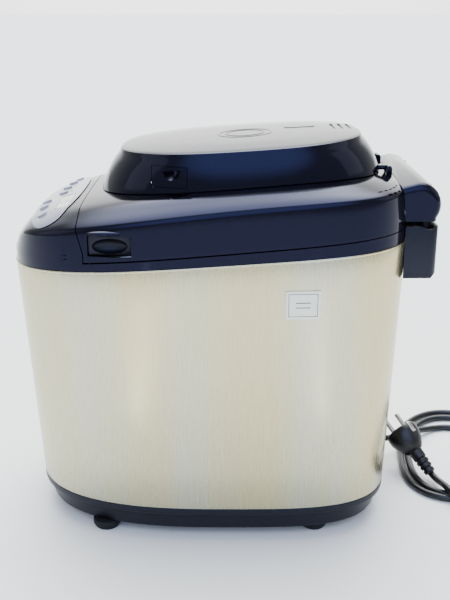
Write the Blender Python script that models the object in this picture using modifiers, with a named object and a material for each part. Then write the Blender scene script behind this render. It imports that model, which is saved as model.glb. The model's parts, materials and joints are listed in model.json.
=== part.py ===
"""A bread machine with a steel sleeve, a main lid and a second, domed lid over its dispenser.

Metres, +Z up. The control panel faces -Y and the hinges are at +Y. The origin is on the floor, under the
middle of the machine's box. Every sub-part is one closed solid, and touching pieces keep a small gap.
"""

import math

import bmesh
import bpy
from mathutils import Matrix, Vector

MM = 0.001
GAP = 0.3 * MM

# Overall sizes
WIDTH = 254 * MM
DEPTH = 388.6 * MM
FRONT = -DEPTH / 2
REAR = DEPTH / 2
HINGE_DEPTH = 23.8 * MM
BASE_TAPER_SIDE = 8.3 * MM
BASE_TAPER_FRONT = 10.7 * MM
BASE_TAPER_REAR = 6.4 * MM

# Heights and slopes of the body's edges
SLEEVE_FOOT = 34.9 * MM
SLEEVE_HEAD = 274.7 * MM
SLEEVE_SLOPE = 0.0685
SEAM_HEIGHT = 283.9 * MM
SEAM_SLOPE = 0.084
SHOULDER_HEIGHT = 320 * MM
SHOULDER_SLOPE = 0.107
SHOULDER_SAG = 0.22
CREASE_HEIGHT = 363.4 * MM
CREASE_SLOPE = 0.0635

# Walls and clearances
SLEEVE_WALL = 1.0 * MM
PLASTIC_WALL = 2.4 * MM
SHEET_WALL = 1.0 * MM
PAN_WALL = 1.6 * MM
LID_GAP = 0.9 * MM
RUNNING = 0.3 * MM

# Control console at the front
CONSOLE_DEPTH = 69.5 * MM
PANEL_MIDDLE_Y = FRONT + 41.3 * MM
PANEL_HALF_WIDTH = 92 * MM
PANEL_HALF_DEPTH = 22 * MM
PANEL_THICKNESS = 0.8 * MM
BUTTON_RADIUS = 4.6 * MM
BUTTON_TRAVEL = 1.0 * MM
# Each button's X, and its distance behind the front edge, in mm
BUTTON_PLACES = ((64, 33.3), (43, 31.3), (22, 30.3), (0, 42.3), (-24, 42.3), (-48, 44.3), (-72, 47.3))
BUTTON_NAMES = ("start", "stop", "menu", "size", "crust", "timer_up", "timer_down")
WINDOW_X = (20 * MM, 66 * MM)
WINDOW_Y = (FRONT + 45.3 * MM, FRONT + 56.8 * MM)

# Domed lid
DOME_HALF_WIDTH = 97 * MM
DOME_FRONT = FRONT + 79.8 * MM
DOME_REAR = REAR - 44.3 * MM
DOME_MIDDLE = (DOME_FRONT + DOME_REAR) / 2 + 0.25 * MM
DOME_TAPER = 7.5 * MM
DOME_TAPER_ENDS = 19 * MM
DOME_CROWN = 4.4 * MM
DOME_WALL = 2.2 * MM
DOME_HINGE_Y = DOME_REAR + 3.6 * MM
DOME_HINGE_Z = CREASE_HEIGHT - 21.6 * MM
DOME_HINGE_X = 32 * MM
DOME_HINGE_RADIUS = 2.7 * MM

# Main hinge at the rear
HINGE_Y = REAR - 9.8 * MM
HINGE_Z = SHOULDER_HEIGHT - 13.5 * MM
HINGE_PIN_RADIUS = 1.5 * MM
HUMP_HALF_WIDTH = 83 * MM
HUMP_RADIUS = 20.5 * MM
HUMP_Z = HINGE_Z + 10 * MM
HUMP_FOOT = HINGE_Z - 3.5 * MM
HUMP_ROUND = 7 * MM
HOUSING_TOP = HINGE_Z - 8.5 * MM
HOUSING_FOOT = HOUSING_TOP - 47.3 * MM
EAR_X = 66 * MM
EAR_WIDTH = 4 * MM
EAR_RADIUS = 3.2 * MM

# Oven, pan and drive, all on one upright axis
AXIS_Y = 17 * MM
CHAMBER_HALF = (86 * MM, 105 * MM)
CHAMBER_CORNER = 42 * MM
CHAMBER_FOOT = 50 * MM
PAN_HALF = (66 * MM, 86 * MM)
PAN_CORNER = 30 * MM
PAN_FOOT = 84 * MM
PAN_RIM = 212 * MM
PAN_LIP = 4 * MM
BAIL_RADIUS = 2 * MM
BAIL_PIVOT_Z = 200 * MM
BAIL_ARM = 62 * MM
SHAFT_RADIUS = 5 * MM
PAN_SHAFT_RADIUS = 4 * MM
PULLEY_RADIUS = 42 * MM
MOTOR_PULLEY_RADIUS = 9 * MM
MOTOR_Y = AXIS_Y - 145 * MM
MOTOR_RADIUS = 27 * MM
PULLEY_Z = (26 * MM, 36 * MM)
BELT_THICKNESS = 2 * MM

# Feet and cord
FOOT_RADIUS = 13.5 * MM
FOOT_PLACES = {"front": FRONT + 82.3 * MM, "rear": REAR - 104.3 * MM}
FOOT_X = WIDTH / 2 - 39 * MM
TRAY_FOOT = 9.5 * MM
CORD_RADIUS = 3.6 * MM
RELIEF_X = -50 * MM
RELIEF_Z = 20 * MM
RELIEF_LENGTH = 24 * MM
PLUG_FACE = Vector((-30.4, 194.6, 42)) * MM
PLUG_TAIL = Vector((5.1, 222.6, 10)) * MM
PIN_LENGTH = 19 * MM
PIN_SPREAD = 19 * MM

OUTLINE_POINTS = 56

COLOURS = {
    "brushed_steel": ((0.66, 0.64, 0.58), 0.35, 1.0),
    "black_gloss": ((0.013, 0.013, 0.022), 0.12, 0.0),
    "black_plastic": ((0.016, 0.016, 0.018), 0.45, 0.0),
    "panel_film": ((0.25, 0.26, 0.28), 0.25, 0.0),
    "button": ((0.35, 0.36, 0.38), 0.35, 0.0),
    "display_glass": ((0.30, 0.33, 0.30), 0.08, 0.0),
    "board_green": ((0.05, 0.20, 0.09), 0.5, 0.0),
    "oven_steel": ((0.55, 0.55, 0.54), 0.3, 1.0),
    "pan_coating": ((0.06, 0.06, 0.065), 0.4, 0.2),
    "wire_steel": ((0.6, 0.6, 0.6), 0.25, 1.0),
    "grey_plastic": ((0.30, 0.31, 0.33), 0.5, 0.0),
    "rubber": ((0.02, 0.02, 0.02), 0.8, 0.0),
    "brass": ((0.7, 0.55, 0.25), 0.35, 1.0),
    "label_film": ((0.80, 0.80, 0.78), 0.4, 0.0),
    "cord_vinyl": ((0.015, 0.015, 0.018), 0.4, 0.0),
}


def clear_scene():
    """Remove whatever the scene holds."""
    for thing in list(bpy.data.objects):
        bpy.data.objects.remove(thing, do_unlink=True)


def collection(name):
    """A new collection, linked to the scene."""
    made = bpy.data.collections.new(name)
    bpy.context.scene.collection.children.link(made)
    return made


clear_scene()
PARTS = collection("bread_machine")
CUTTERS = collection("cutters")


def material(slot):
    """The Principled material of a slot, made once."""
    found = bpy.data.materials.get(slot)
    if found:
        return found
    colour, roughness, metallic = COLOURS[slot]
    made = bpy.data.materials.new(slot)
    made.use_nodes = True
    shader = made.node_tree.nodes["Principled BSDF"]
    shader.inputs["Base Color"].default_value = (*colour, 1)
    shader.inputs["Roughness"].default_value = roughness
    shader.inputs["Metallic"].default_value = metallic
    return made


def add(name, mesh, slot=None):
    """Make an object of a mesh: a part when it has a material slot, or else a cutter."""
    made = bpy.data.objects.new(name, mesh)
    if slot:
        PARTS.objects.link(made)
        mesh.materials.append(material(slot))
        mesh.shade_smooth()
        mesh.set_sharp_from_angle(angle=math.radians(35))
    else:
        CUTTERS.objects.link(made)
        made.hide_render = True
        made.display_type = "WIRE"
    return made


def finish(name, bm, slot=None):
    """Turn a bmesh into an object with its faces pointing out."""
    bmesh.ops.recalc_face_normals(bm, faces=bm.faces)
    mesh = bpy.data.meshes.new(name)
    bm.to_mesh(mesh)
    bm.free()
    return add(name, mesh, slot)


def boolean(target, other, operation="DIFFERENCE"):
    """Cut, join or intersect a part with another object."""
    step = target.modifiers.new(f"{operation.lower()} {other.name}", "BOOLEAN")
    step.operation = operation
    step.object = other
    step.solver = "EXACT"
    return target


def box(name, low, high, slot=None, bevel=0.0):
    """A block between two corners, with rounded edges if asked."""
    bm = bmesh.new()
    bmesh.ops.create_cube(bm, size=1)
    size = Vector(high) - Vector(low)
    middle = (Vector(high) + Vector(low)) / 2
    bmesh.ops.scale(bm, vec=size, verts=bm.verts)
    bmesh.ops.translate(bm, vec=middle, verts=bm.verts)
    made = finish(name, bm, slot)
    if bevel:
        round_off = made.modifiers.new("rounded edges", "BEVEL")
        round_off.width = bevel
        round_off.segments = 2
    return made


def drum(name, radius, low, high, slot=None, steps=24, tip=None):
    """A straight or tapering round bar between two points."""
    low, high = Vector(low), Vector(high)
    along = high - low
    bm = bmesh.new()
    bmesh.ops.create_cone(
        bm, cap_ends=True, segments=steps, radius1=radius, radius2=tip or radius, depth=along.length
    )
    turn = along.to_track_quat("Z", "Y").to_matrix().to_4x4()
    bmesh.ops.transform(bm, matrix=Matrix.Translation((low + high) / 2) @ turn, verts=bm.verts)
    return finish(name, bm, slot)


def turned(name, profile, slot=None, steps=24, place=(0, 0, 0), axis=(0, 0, 1)):
    """A turned shape: (radius, height) points, down the outer side first, spun about an axis."""
    mesh = bpy.data.meshes.new(name)
    count = len(profile)
    closed = profile[0][0] > 0
    edges = [(i, i + 1) for i in range(count - 1)] + ([(count - 1, 0)] if closed else [])
    mesh.from_pydata([(radius, 0, height) for radius, height in profile], edges, [])
    made = add(name, mesh, slot)
    made.location = place
    made.rotation_euler = Vector(axis).to_track_quat("Z", "Y").to_euler()
    spin = made.modifiers.new("turned", "SCREW")
    spin.steps = steps
    spin.render_steps = steps
    spin.use_merge_vertices = True
    spin.merge_threshold = 0.00001
    return made


def prism(name, outline, axis, low, high, slot=None):
    """A flat outline given depth along X, Y or Z; its points are in the other two directions, in order."""
    curve = bpy.data.curves.new(name, "CURVE")
    curve.dimensions = "2D"
    curve.fill_mode = "BOTH"
    curve.extrude = (high - low) / 2
    line = curve.splines.new("POLY")
    line.points.add(len(outline) - 1)
    for point, (u, v) in zip(line.points, outline):
        point.co = (u, v, 0, 1)
    line.use_cyclic_u = True
    sketch = bpy.data.objects.new(name + "_sketch", curve)
    CUTTERS.objects.link(sketch)
    bpy.context.view_layer.update()
    evaluated = sketch.evaluated_get(bpy.context.evaluated_depsgraph_get())
    mesh = bpy.data.meshes.new_from_object(evaluated)
    bpy.data.objects.remove(sketch)
    bm = bmesh.new()
    bm.from_mesh(mesh)
    bmesh.ops.remove_doubles(bm, verts=bm.verts, dist=0.00001)
    middle = (low + high) / 2
    columns = {
        "X": ((0, 1, 0), (0, 0, 1), (1, 0, 0), (middle, 0, 0)),
        "Y": ((1, 0, 0), (0, 0, 1), (0, 1, 0), (0, middle, 0)),
        "Z": ((1, 0, 0), (0, 1, 0), (0, 0, 1), (0, 0, middle)),
    }[axis]
    frame = Matrix([Vector(c) for c in columns[:3]]).transposed().to_4x4()
    bmesh.ops.transform(bm, matrix=Matrix.Translation(columns[3]) @ frame, verts=bm.verts)
    return finish(name, bm, slot)


def loft(name, rings, slot=None, hollow=False, start=None, end=None):
    """Skin a stack of rings. hollow joins the last ring to the first; start and end are cap centres."""
    bm = bmesh.new()
    rows = [[bm.verts.new(point) for point in ring] for ring in rings]
    pairs = list(zip(rows, rows[1:])) + ([(rows[-1], rows[0])] if hollow else [])
    for one, other in pairs:
        for i in range(len(one)):
            j = (i + 1) % len(one)
            bm.faces.new((one[i], one[j], other[j]))
            bm.faces.new((one[i], other[j], other[i]))
    for row, centre in ((rows[0], start), (rows[-1], end)):
        if centre is None:
            continue
        hub = bm.verts.new(centre)
        for i in range(len(row)):
            bm.faces.new((row[i], row[(i + 1) % len(row)], hub))
    return finish(name, bm, slot)


def smooth_curve(points, spacing):
    """Points at an even spacing on a Catmull-Rom curve through the given points."""
    points = [Vector(p) for p in points]
    ends = [2 * points[0] - points[1], *points, 2 * points[-1] - points[-2]]
    fine = []
    for a, b, c, d in zip(ends, ends[1:], ends[2:], ends[3:]):
        for step in range(24):
            t = step / 24
            fine.append(
                0.5 * (2 * b + (c - a) * t + (2 * a - 5 * b + 4 * c - d) * t * t
                       + (3 * b - a - 3 * c + d) * t ** 3)
            )
    fine.append(points[-1])
    lengths = [0.0]
    for one, other in zip(fine, fine[1:]):
        lengths.append(lengths[-1] + (other - one).length)
    count = max(2, round(lengths[-1] / spacing))
    even, at = [], 0
    for i in range(count + 1):
        wanted = lengths[-1] * i / count
        while at < len(fine) - 2 and lengths[at + 1] < wanted:
            at += 1
        share = (wanted - lengths[at]) / max(lengths[at + 1] - lengths[at], 1e-9)
        even.append(fine[at].lerp(fine[at + 1], min(1.0, share)))
    return even


def tube(name, points, radius, slot, resolution=2):
    """A round bar or cord along points."""
    curve = bpy.data.curves.new(name, "CURVE")
    curve.dimensions = "3D"
    curve.bevel_depth = radius
    curve.bevel_resolution = resolution
    curve.use_fill_caps = True
    line = curve.splines.new("POLY")
    line.points.add(len(points) - 1)
    for point, place in zip(line.points, points):
        point.co = (*place, 1)
    curve.materials.append(material(slot))
    made = bpy.data.objects.new(name, curve)
    PARTS.objects.link(made)
    return made


def as_mesh(made, slot):
    """Turn a tube into a mesh, so that it can be cut or joined."""
    name = made.name
    bpy.context.view_layer.update()
    evaluated = made.evaluated_get(bpy.context.evaluated_depsgraph_get())
    mesh = bpy.data.meshes.new_from_object(evaluated)
    place = made.matrix_world.copy()
    bpy.data.objects.remove(made)
    bm = bmesh.new()
    bm.from_mesh(mesh)
    bmesh.ops.remove_doubles(bm, verts=bm.verts, dist=0.000001)
    mesh.materials.clear()
    solid = finish(name, bm, slot)
    solid.matrix_world = place
    return solid


def knuckle(name, low, high, centre, radius, foot):
    """A cutter or joiner for a hinge leaf: a flat leaf along X, round about its hinge line, down to a foot."""
    y, z = centre
    side = 1 if foot > z else -1
    outline = [(y + radius, foot), (y - radius, foot)]
    for step in range(9):
        angle = math.pi * (1 + step / 8)
        outline.append((y + radius * math.cos(angle), z - side * radius * abs(math.sin(angle))))
    if side > 0:
        outline.reverse()
    return prism(name, outline, "X", low, high)


class Outline:
    """A plan outline whose front and rear halves have their own reach and squareness."""

    def __init__(self, half_width, front, rear, middle, front_power, rear_power):
        self.half_width = half_width
        self.front = front
        self.rear = rear
        self.middle = middle
        self.front_power = front_power
        self.rear_power = rear_power

    def inset(self, depth, ends=None):
        """The outline moved in by a depth at the sides, and by another one at the ends if given."""
        ends = depth if ends is None else ends
        return Outline(
            self.half_width - depth, self.front + ends, self.rear - ends, self.middle,
            self.front_power, self.rear_power,
        )

    def half(self, y):
        """(reach, power) of the half that holds this y."""
        if y >= self.middle:
            return self.rear - self.middle, self.rear_power
        return self.middle - self.front, self.front_power

    def points(self, count=OUTLINE_POINTS):
        """(x, y) points round the outline."""
        made = []
        for i in range(count):
            across = math.cos(2 * math.pi * i / count)
            along = math.sin(2 * math.pi * i / count)
            reach, power = self.half(self.middle + along)
            x = self.half_width * math.copysign(abs(across) ** (2 / power), across)
            y = self.middle + reach * math.copysign(abs(along) ** (2 / power), along)
            made.append((x, y))
        return made

    def ring(self, height, count=OUTLINE_POINTS):
        """The outline in space: height is a number or a function of (x, y)."""
        return [(x, y, height(x, y) if callable(height) else height) for x, y in self.points(count)]

    def outside(self, x, y):
        """Over zero outside the outline and under zero inside it."""
        reach, power = self.half(y)
        return abs(x / self.half_width) ** power + abs((y - self.middle) / reach) ** power - 1

    def reach_at(self, x, rear=True):
        """The y of the rear or front edge at this x."""
        reach, power = self.half(self.middle + 1 if rear else self.middle - 1)
        share = (1 - min(1, abs(x / self.half_width)) ** power) ** (1 / power)
        return self.middle + (reach if rear else -reach) * share

    def half_width_at(self, y):
        """The half width at this y."""
        reach, power = self.half(y)
        return self.half_width * (1 - min(1, abs((y - self.middle) / reach)) ** power) ** (1 / power)


BODY_MIDDLE = 5 * MM
BODY_REAR = DEPTH / 2 - HINGE_DEPTH
TOP = Outline(WIDTH / 2, -DEPTH / 2, BODY_REAR, BODY_MIDDLE, 3.13, 4.08)
FOOT = Outline(
    WIDTH / 2 - BASE_TAPER_SIDE, TOP.front + BASE_TAPER_FRONT, BODY_REAR - BASE_TAPER_REAR, BODY_MIDDLE, 2.62, 3.51
)
DOME = Outline(DOME_HALF_WIDTH, DOME_FRONT, DOME_REAR, DOME_MIDDLE, 2.4, 2.6)
CREASE = DOME.inset(DOME_TAPER, DOME_TAPER_ENDS)

# How the roof climbs from the shoulder to the middle: (inset, share of the rise)
ROOF_STEPS = ((4.5 * MM, 0.0), (9 * MM, 0.24), (17 * MM, 0.55), (31 * MM, 1.0), (60 * MM, 1.2))
ROOF_MIDDLE_SHARE = 1.3


def sleeve_top(x, y):
    """Height of the sleeve's sloping top edge."""
    return SLEEVE_HEAD + SLEEVE_SLOPE * y


def seam(x, y):
    """Height of the seam under the main lid."""
    return SEAM_HEIGHT + SEAM_SLOPE * y


def shoulder(y):
    """Height of the edge where the side turns into the roof."""
    nose = max(0.0, TOP.front + 28 * MM - y)
    return SHOULDER_HEIGHT + SHOULDER_SLOPE * y - SHOULDER_SAG * y * y - 20 * nose * nose


def roof_rise(y):
    """How far the roof climbs above the shoulder."""
    return 13.2 * MM - 0.18 * (y + 30 * MM) ** 2


def roof_share(depth):
    """Share of the rise at this inset."""
    steps = (*ROOF_STEPS, (TOP.half_width, ROOF_MIDDLE_SHARE))
    for (near, low), (far, high) in zip(steps, steps[1:]):
        if depth <= far:
            return low + (high - low) * max(0.0, depth - near) / (far - near)
    return ROOF_MIDDLE_SHARE


def roof_height(x, y):
    """Height of the roof over a point, found from the inset that passes through it."""
    low, high = 0.0, TOP.half_width - 1 * MM
    for _ in range(30):
        depth = (low + high) / 2
        if TOP.inset(depth).outside(x, y) > 0:
            high = depth
        else:
            low = depth
    return shoulder(y) + roof_rise(y) * roof_share(low)


def roof_normal(x, y):
    """The roof's upward normal at a point."""
    reach = 4 * MM
    slope_x = (roof_height(x + reach, y) - roof_height(x - reach, y)) / (2 * reach)
    slope_y = (roof_height(x, y + reach) - roof_height(x, y - reach)) / (2 * reach)
    return Vector((-slope_x, -slope_y, 1)).normalized()


def roof_rings(grow, lift):
    """Rings of the roof from the shoulder inwards, moved out by grow and up by lift."""
    rings = []
    for depth, share in ROOF_STEPS:
        rings.append(
            TOP.inset(depth - grow).ring(lambda x, y, share=share: shoulder(y) + roof_rise(y) * share + lift)
        )
    return rings


def roof_peak(lift):
    """The roof's middle point."""
    y = BODY_MIDDLE
    return (0, y, shoulder(y) + roof_rise(y) * ROOF_MIDDLE_SHARE + lift)


def top_form(name, bottom, grow=0.0, lift=0.0, slot=None):
    """The machine's whole black top as one solid block from a bottom height up to the roof."""
    rings = [
        TOP.inset(0.5 * MM - grow).ring(bottom),
        TOP.inset(0.5 * MM - grow).ring(lambda x, y: seam(x, y) + 5 * MM),
        TOP.inset(2.6 * MM - grow).ring(lambda x, y: shoulder(y) - 4.5 * MM + lift),
        *roof_rings(grow, lift),
    ]
    return loft(
        name, rings, slot, start=(0, BODY_MIDDLE, bottom(0, BODY_MIDDLE)), end=roof_peak(lift)
    )


def roof_skin(name, low, high, slot=None):
    """A thin sheet that lies over the roof between two offsets."""
    upper = roof_rings(0, high)
    lower = roof_rings(0, low)
    top_hub, low_hub = roof_peak(high), roof_peak(low)
    rings = [*reversed(upper), *lower]
    return loft(name, rings, slot, start=top_hub, end=low_hub)


def console_line(gap):
    """The slanting joint between the console and the main lid, as (y, z) points from bottom to top."""
    back = TOP.front + CONSOLE_DEPTH + gap
    return [
        (back + 6 * MM, 200 * MM), (back + 6 * MM, 282 * MM), (back, 303 * MM), (back, 450 * MM),
    ]


def region(name, line, edge_y):
    """A cutter that holds all that lies between a joint line and an edge in front of it or behind it."""
    return prism(name, [*line, (edge_y, line[-1][1]), (edge_y, line[0][1])], "X", -0.25, 0.25)


def rounded_ring(half, corner, height, steps=4, middle_y=AXIS_Y):
    """A ring of a rectangle with round corners; height is a number or a function of (x, y)."""
    ring = []
    for quarter, (sx, sy) in enumerate(((1, 1), (-1, 1), (-1, -1), (1, -1))):
        for step in range(steps + 1):
            angle = math.pi / 2 * (quarter + step / steps)
            x = sx * (half[0] - corner) + corner * math.cos(angle)
            y = middle_y + sy * (half[1] - corner) + corner * math.sin(angle)
            ring.append((x, y, height(x, y) if callable(height) else height))
    return ring


def grown(half, by):
    """Half sizes made larger all round."""
    return (half[0] + by, half[1] + by)


def make_body():
    """Steel sleeve, base tray and feet."""
    inner_foot = FOOT.inset(SLEEVE_WALL)
    inner_top = TOP.inset(SLEEVE_WALL)
    loft(
        "steel_sleeve",
        [FOOT.ring(SLEEVE_FOOT), TOP.ring(sleeve_top), inner_top.ring(sleeve_top), inner_foot.ring(SLEEVE_FOOT)],
        "brushed_steel", hollow=True,
    )
    rim = SLEEVE_FOOT - GAP
    lip = SLEEVE_WALL + 0.8 * MM
    wall = PLASTIC_WALL
    centre = (0, BODY_MIDDLE)
    tray = loft(
        "base_tray",
        [
            FOOT.inset(10 * MM).ring(TRAY_FOOT),
            FOOT.inset(7 * MM).ring(TRAY_FOOT + 3 * MM),
            FOOT.inset(5.5 * MM).ring(rim - 7 * MM),
            FOOT.ring(rim - 6.2 * MM),
            FOOT.ring(rim),
            FOOT.inset(lip).ring(rim),
            FOOT.inset(lip).ring(rim + 7 * MM),
            FOOT.inset(lip + wall).ring(rim + 7 * MM),
            FOOT.inset(5.5 * MM + wall).ring(rim - 7 * MM),
            FOOT.inset(10 * MM + wall).ring(TRAY_FOOT + 3 * MM),
        ],
        "black_plastic", start=(*centre, TRAY_FOOT), end=(*centre, TRAY_FOOT + 3 * MM),
    )
    root, out = relief_place()
    boolean(tray, drum("relief_hole", relief_radius(0) + GAP, root - out * 12 * MM, root + out * 12 * MM, steps=16))
    top = TRAY_FOOT - GAP
    profile = [(0, top), (FOOT_RADIUS, top), (FOOT_RADIUS, 4 * MM), (FOOT_RADIUS - 2.5 * MM, 0), (0, 0)]
    for end, y in FOOT_PLACES.items():
        for side, x in (("left", -FOOT_X), ("right", FOOT_X)):
            turned(f"foot_{end}_{side}", profile, "rubber", steps=16, place=(x, y, 0))


def relief_radius(share):
    """Radius of the cord's strain relief along its length."""
    return (6.4 - 2.2 * share) * MM


def make_top_frame():
    """Black frame that closes the body's top: collar, deck and the control console with its panel."""
    frame = top_form("top_frame", lambda x, y: sleeve_top(x, y) + GAP, slot="black_gloss")
    back = TOP.front + CONSOLE_DEPTH
    lid_space = prism(
        "lid_space",
        [(back + 6 * MM, seam(0, back)), *console_line(0)[1:], (0.25, 450 * MM), (0.25, seam(0, 0.25))],
        "X", -0.25, 0.25,
    )
    boolean(frame, lid_space)
    deck_foot = -PLASTIC_WALL - 0.6 * MM
    hollow = loft(
        "frame_hollow",
        [
            TOP.inset(PLASTIC_WALL + 0.5 * MM).ring(200 * MM),
            TOP.inset(PLASTIC_WALL + 0.5 * MM).ring(lambda x, y: seam(x, y) + deck_foot),
        ],
        start=(0, BODY_MIDDLE, 200 * MM), end=(0, BODY_MIDDLE, seam(0, BODY_MIDDLE) + deck_foot),
    )
    boolean(frame, hollow)
    console_hollow = top_form(
        "console_hollow", lambda x, y: 210 * MM, grow=-PLASTIC_WALL, lift=-PLASTIC_WALL
    )
    boolean(console_hollow, region("console_space", console_line(-PLASTIC_WALL), -0.25), "INTERSECT")
    boolean(frame, console_hollow)
    inner = grown(CHAMBER_HALF, -SHEET_WALL)
    mouth = [rounded_ring(inner, CHAMBER_CORNER - SHEET_WALL, z) for z in (240 * MM, 330 * MM)]
    boolean(frame, loft("frame_mouth", mouth, start=(0, AXIS_Y, 240 * MM), end=(0, AXIS_Y, 330 * MM)))
    window = box(
        "window_hole",
        (WINDOW_X[0] + 2 * MM, WINDOW_Y[0] + 2 * MM, 250 * MM), (WINDOW_X[1] - 2 * MM, WINDOW_Y[1] - 2 * MM, 0.35),
    )
    boolean(frame, window)
    for row in range(2):
        for column in range(2):
            y = FRONT + (49.8 + 8.5 * column) * MM
            z = SEAM_HEIGHT - (4.4 + 3.6 * row - 0.7 * column) * MM
            slot = box(
                f"louvre_{row}_{column}",
                (WIDTH / 2 - 37 * MM, y - 3 * MM, z - 0.8 * MM), (WIDTH / 2 + 3 * MM, y + 3 * MM, z + 0.8 * MM),
            )
            boolean(frame, slot)
    return frame


def oval(half_width, half_depth, middle_y, power=2.5, count=40):
    """(x, y) points of a squarish oval."""
    points = []
    for i in range(count):
        across = math.cos(2 * math.pi * i / count)
        along = math.sin(2 * math.pi * i / count)
        points.append((
            half_width * math.copysign(abs(across) ** (2 / power), across),
            middle_y + half_depth * math.copysign(abs(along) ** (2 / power), along),
        ))
    return points


def make_panel(frame):
    """Panel film, display and buttons on the console's roof."""
    skin_low, skin_high = GAP, GAP + PANEL_THICKNESS
    film = roof_skin("panel_membrane", skin_low, skin_high, "panel_film")
    patch = prism("panel_patch", oval(PANEL_HALF_WIDTH, PANEL_HALF_DEPTH, PANEL_MIDDLE_Y), "Z", 0.25, 0.36)
    boolean(film, patch, "INTERSECT")
    window = roof_skin("display_window", skin_low, skin_high, "display_glass")
    low = (WINDOW_X[0], WINDOW_Y[0], 0.25)
    high = (WINDOW_X[1], WINDOW_Y[1], 0.36)
    boolean(window, box("window_patch", low, high), "INTERSECT")
    clear = Vector((GAP, GAP, 0))
    boolean(film, box("window_seat", Vector(low) - clear, Vector(high) + clear))
    middle_x = sum(WINDOW_X) / 2
    middle_y = sum(WINDOW_Y) / 2
    lean = math.asin(-roof_normal(middle_x, middle_y).y)
    screen = box("display_module", (-24 * MM, -7 * MM, -3 * MM), (24 * MM, 7 * MM, 3 * MM), "grey_plastic")
    screen.location = (middle_x, middle_y, roof_height(middle_x, middle_y) - 9 * MM)
    screen.rotation_euler = (lean, 0, 0)
    board = box("control_board", (-76 * MM, -18 * MM, -0.8 * MM), (76 * MM, 18 * MM, 0.8 * MM), "board_green")
    board.location = (0, PANEL_MIDDLE_Y, roof_height(0, PANEL_MIDDLE_Y) - 28.5 * MM)
    board.rotation_euler = (math.radians(18), 0, 0)
    for name, (x, y) in zip(BUTTON_NAMES, BUTTON_PLACES):
        make_button(name, x * MM, FRONT + y * MM, frame, film)


def make_button(name, x, y, frame, film):
    """A round sprung button: a cap through the film and the roof, and a flange that keeps it in."""
    up = roof_normal(x, y)
    place = Vector((x, y, roof_height(x, y)))
    top = GAP + PANEL_THICKNESS + 1.6 * MM
    flange = -(PLASTIC_WALL + 1.5 * MM)
    profile = [
        (0, top), (BUTTON_RADIUS - 0.8 * MM, top), (BUTTON_RADIUS, top - 0.7 * MM), (BUTTON_RADIUS, flange),
        (BUTTON_RADIUS + 1.4 * MM, flange), (BUTTON_RADIUS + 1.4 * MM, flange - 1.2 * MM), (0, flange - 1.2 * MM),
    ]
    turned(f"button_{name}", profile, "button", steps=14, place=place, axis=up)
    hole = drum(
        f"hole_{name}", BUTTON_RADIUS + RUNNING + 0.1 * MM, place - up * 6 * MM, place + up * 5 * MM, steps=14
    )
    boolean(frame, hole)
    boolean(film, hole)


def make_lid():
    """Main lid: outer shell with its dispenser opening, liner, grips and hinge cover."""
    shell = top_form("lid_shell", lambda x, y: seam(x, y) + LID_GAP, slot="black_gloss")
    boolean(shell, region("lid_region", console_line(LID_GAP), 0.25), "INTERSECT")
    hollow = top_form("lid_hollow", lambda x, y: seam(x, y) - 9 * MM, grow=-PLASTIC_WALL, lift=-PLASTIC_WALL)
    boolean(hollow, region("lid_inner_region", console_line(LID_GAP + PLASTIC_WALL), 0.25), "INTERSECT")
    boolean(shell, hollow)
    well = DOME.inset(DOME_WALL + 7 * MM)
    middle = (0, DOME_MIDDLE)
    boolean(shell, loft(
        "dome_well", [well.ring(0.25, 40), well.ring(0.42, 40)], start=(*middle, 0.25), end=(*middle, 0.42)
    ))
    lift = 1.5 * MM
    edge = TOP.inset(PLASTIC_WALL + 3.5 * MM)
    front = TOP.front + CONSOLE_DEPTH + LID_GAP + 6 * MM + PLASTIC_WALL + 0.6 * MM
    liner = loft(
        "lid_liner",
        [edge.ring(lambda x, y: seam(x, y) + lift), edge.ring(lambda x, y: seam(x, y) + lift + 2 * MM)],
        "oven_steel",
        start=(0, BODY_MIDDLE, seam(0, BODY_MIDDLE) + lift), end=(0, BODY_MIDDLE, seam(0, BODY_MIDDLE) + lift + 2 * MM),
    )
    boolean(liner, box("liner_front", (-0.2, -0.3, 0.2), (0.2, front, 0.4)))
    make_dispenser(liner)
    make_grips(shell)
    return shell


NUT_BOX = ((-52 * MM, -38 * MM), (12 * MM, 62 * MM))
YEAST_BOX = ((22 * MM, -6 * MM), (56 * MM, 40 * MM))
BOX_TOP = SEAM_HEIGHT + 46.1 * MM
BOX_WALL = 1.8 * MM
FLAP_THICKNESS = 1.6 * MM
FLAP_PIN_RADIUS = 1.0 * MM


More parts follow.
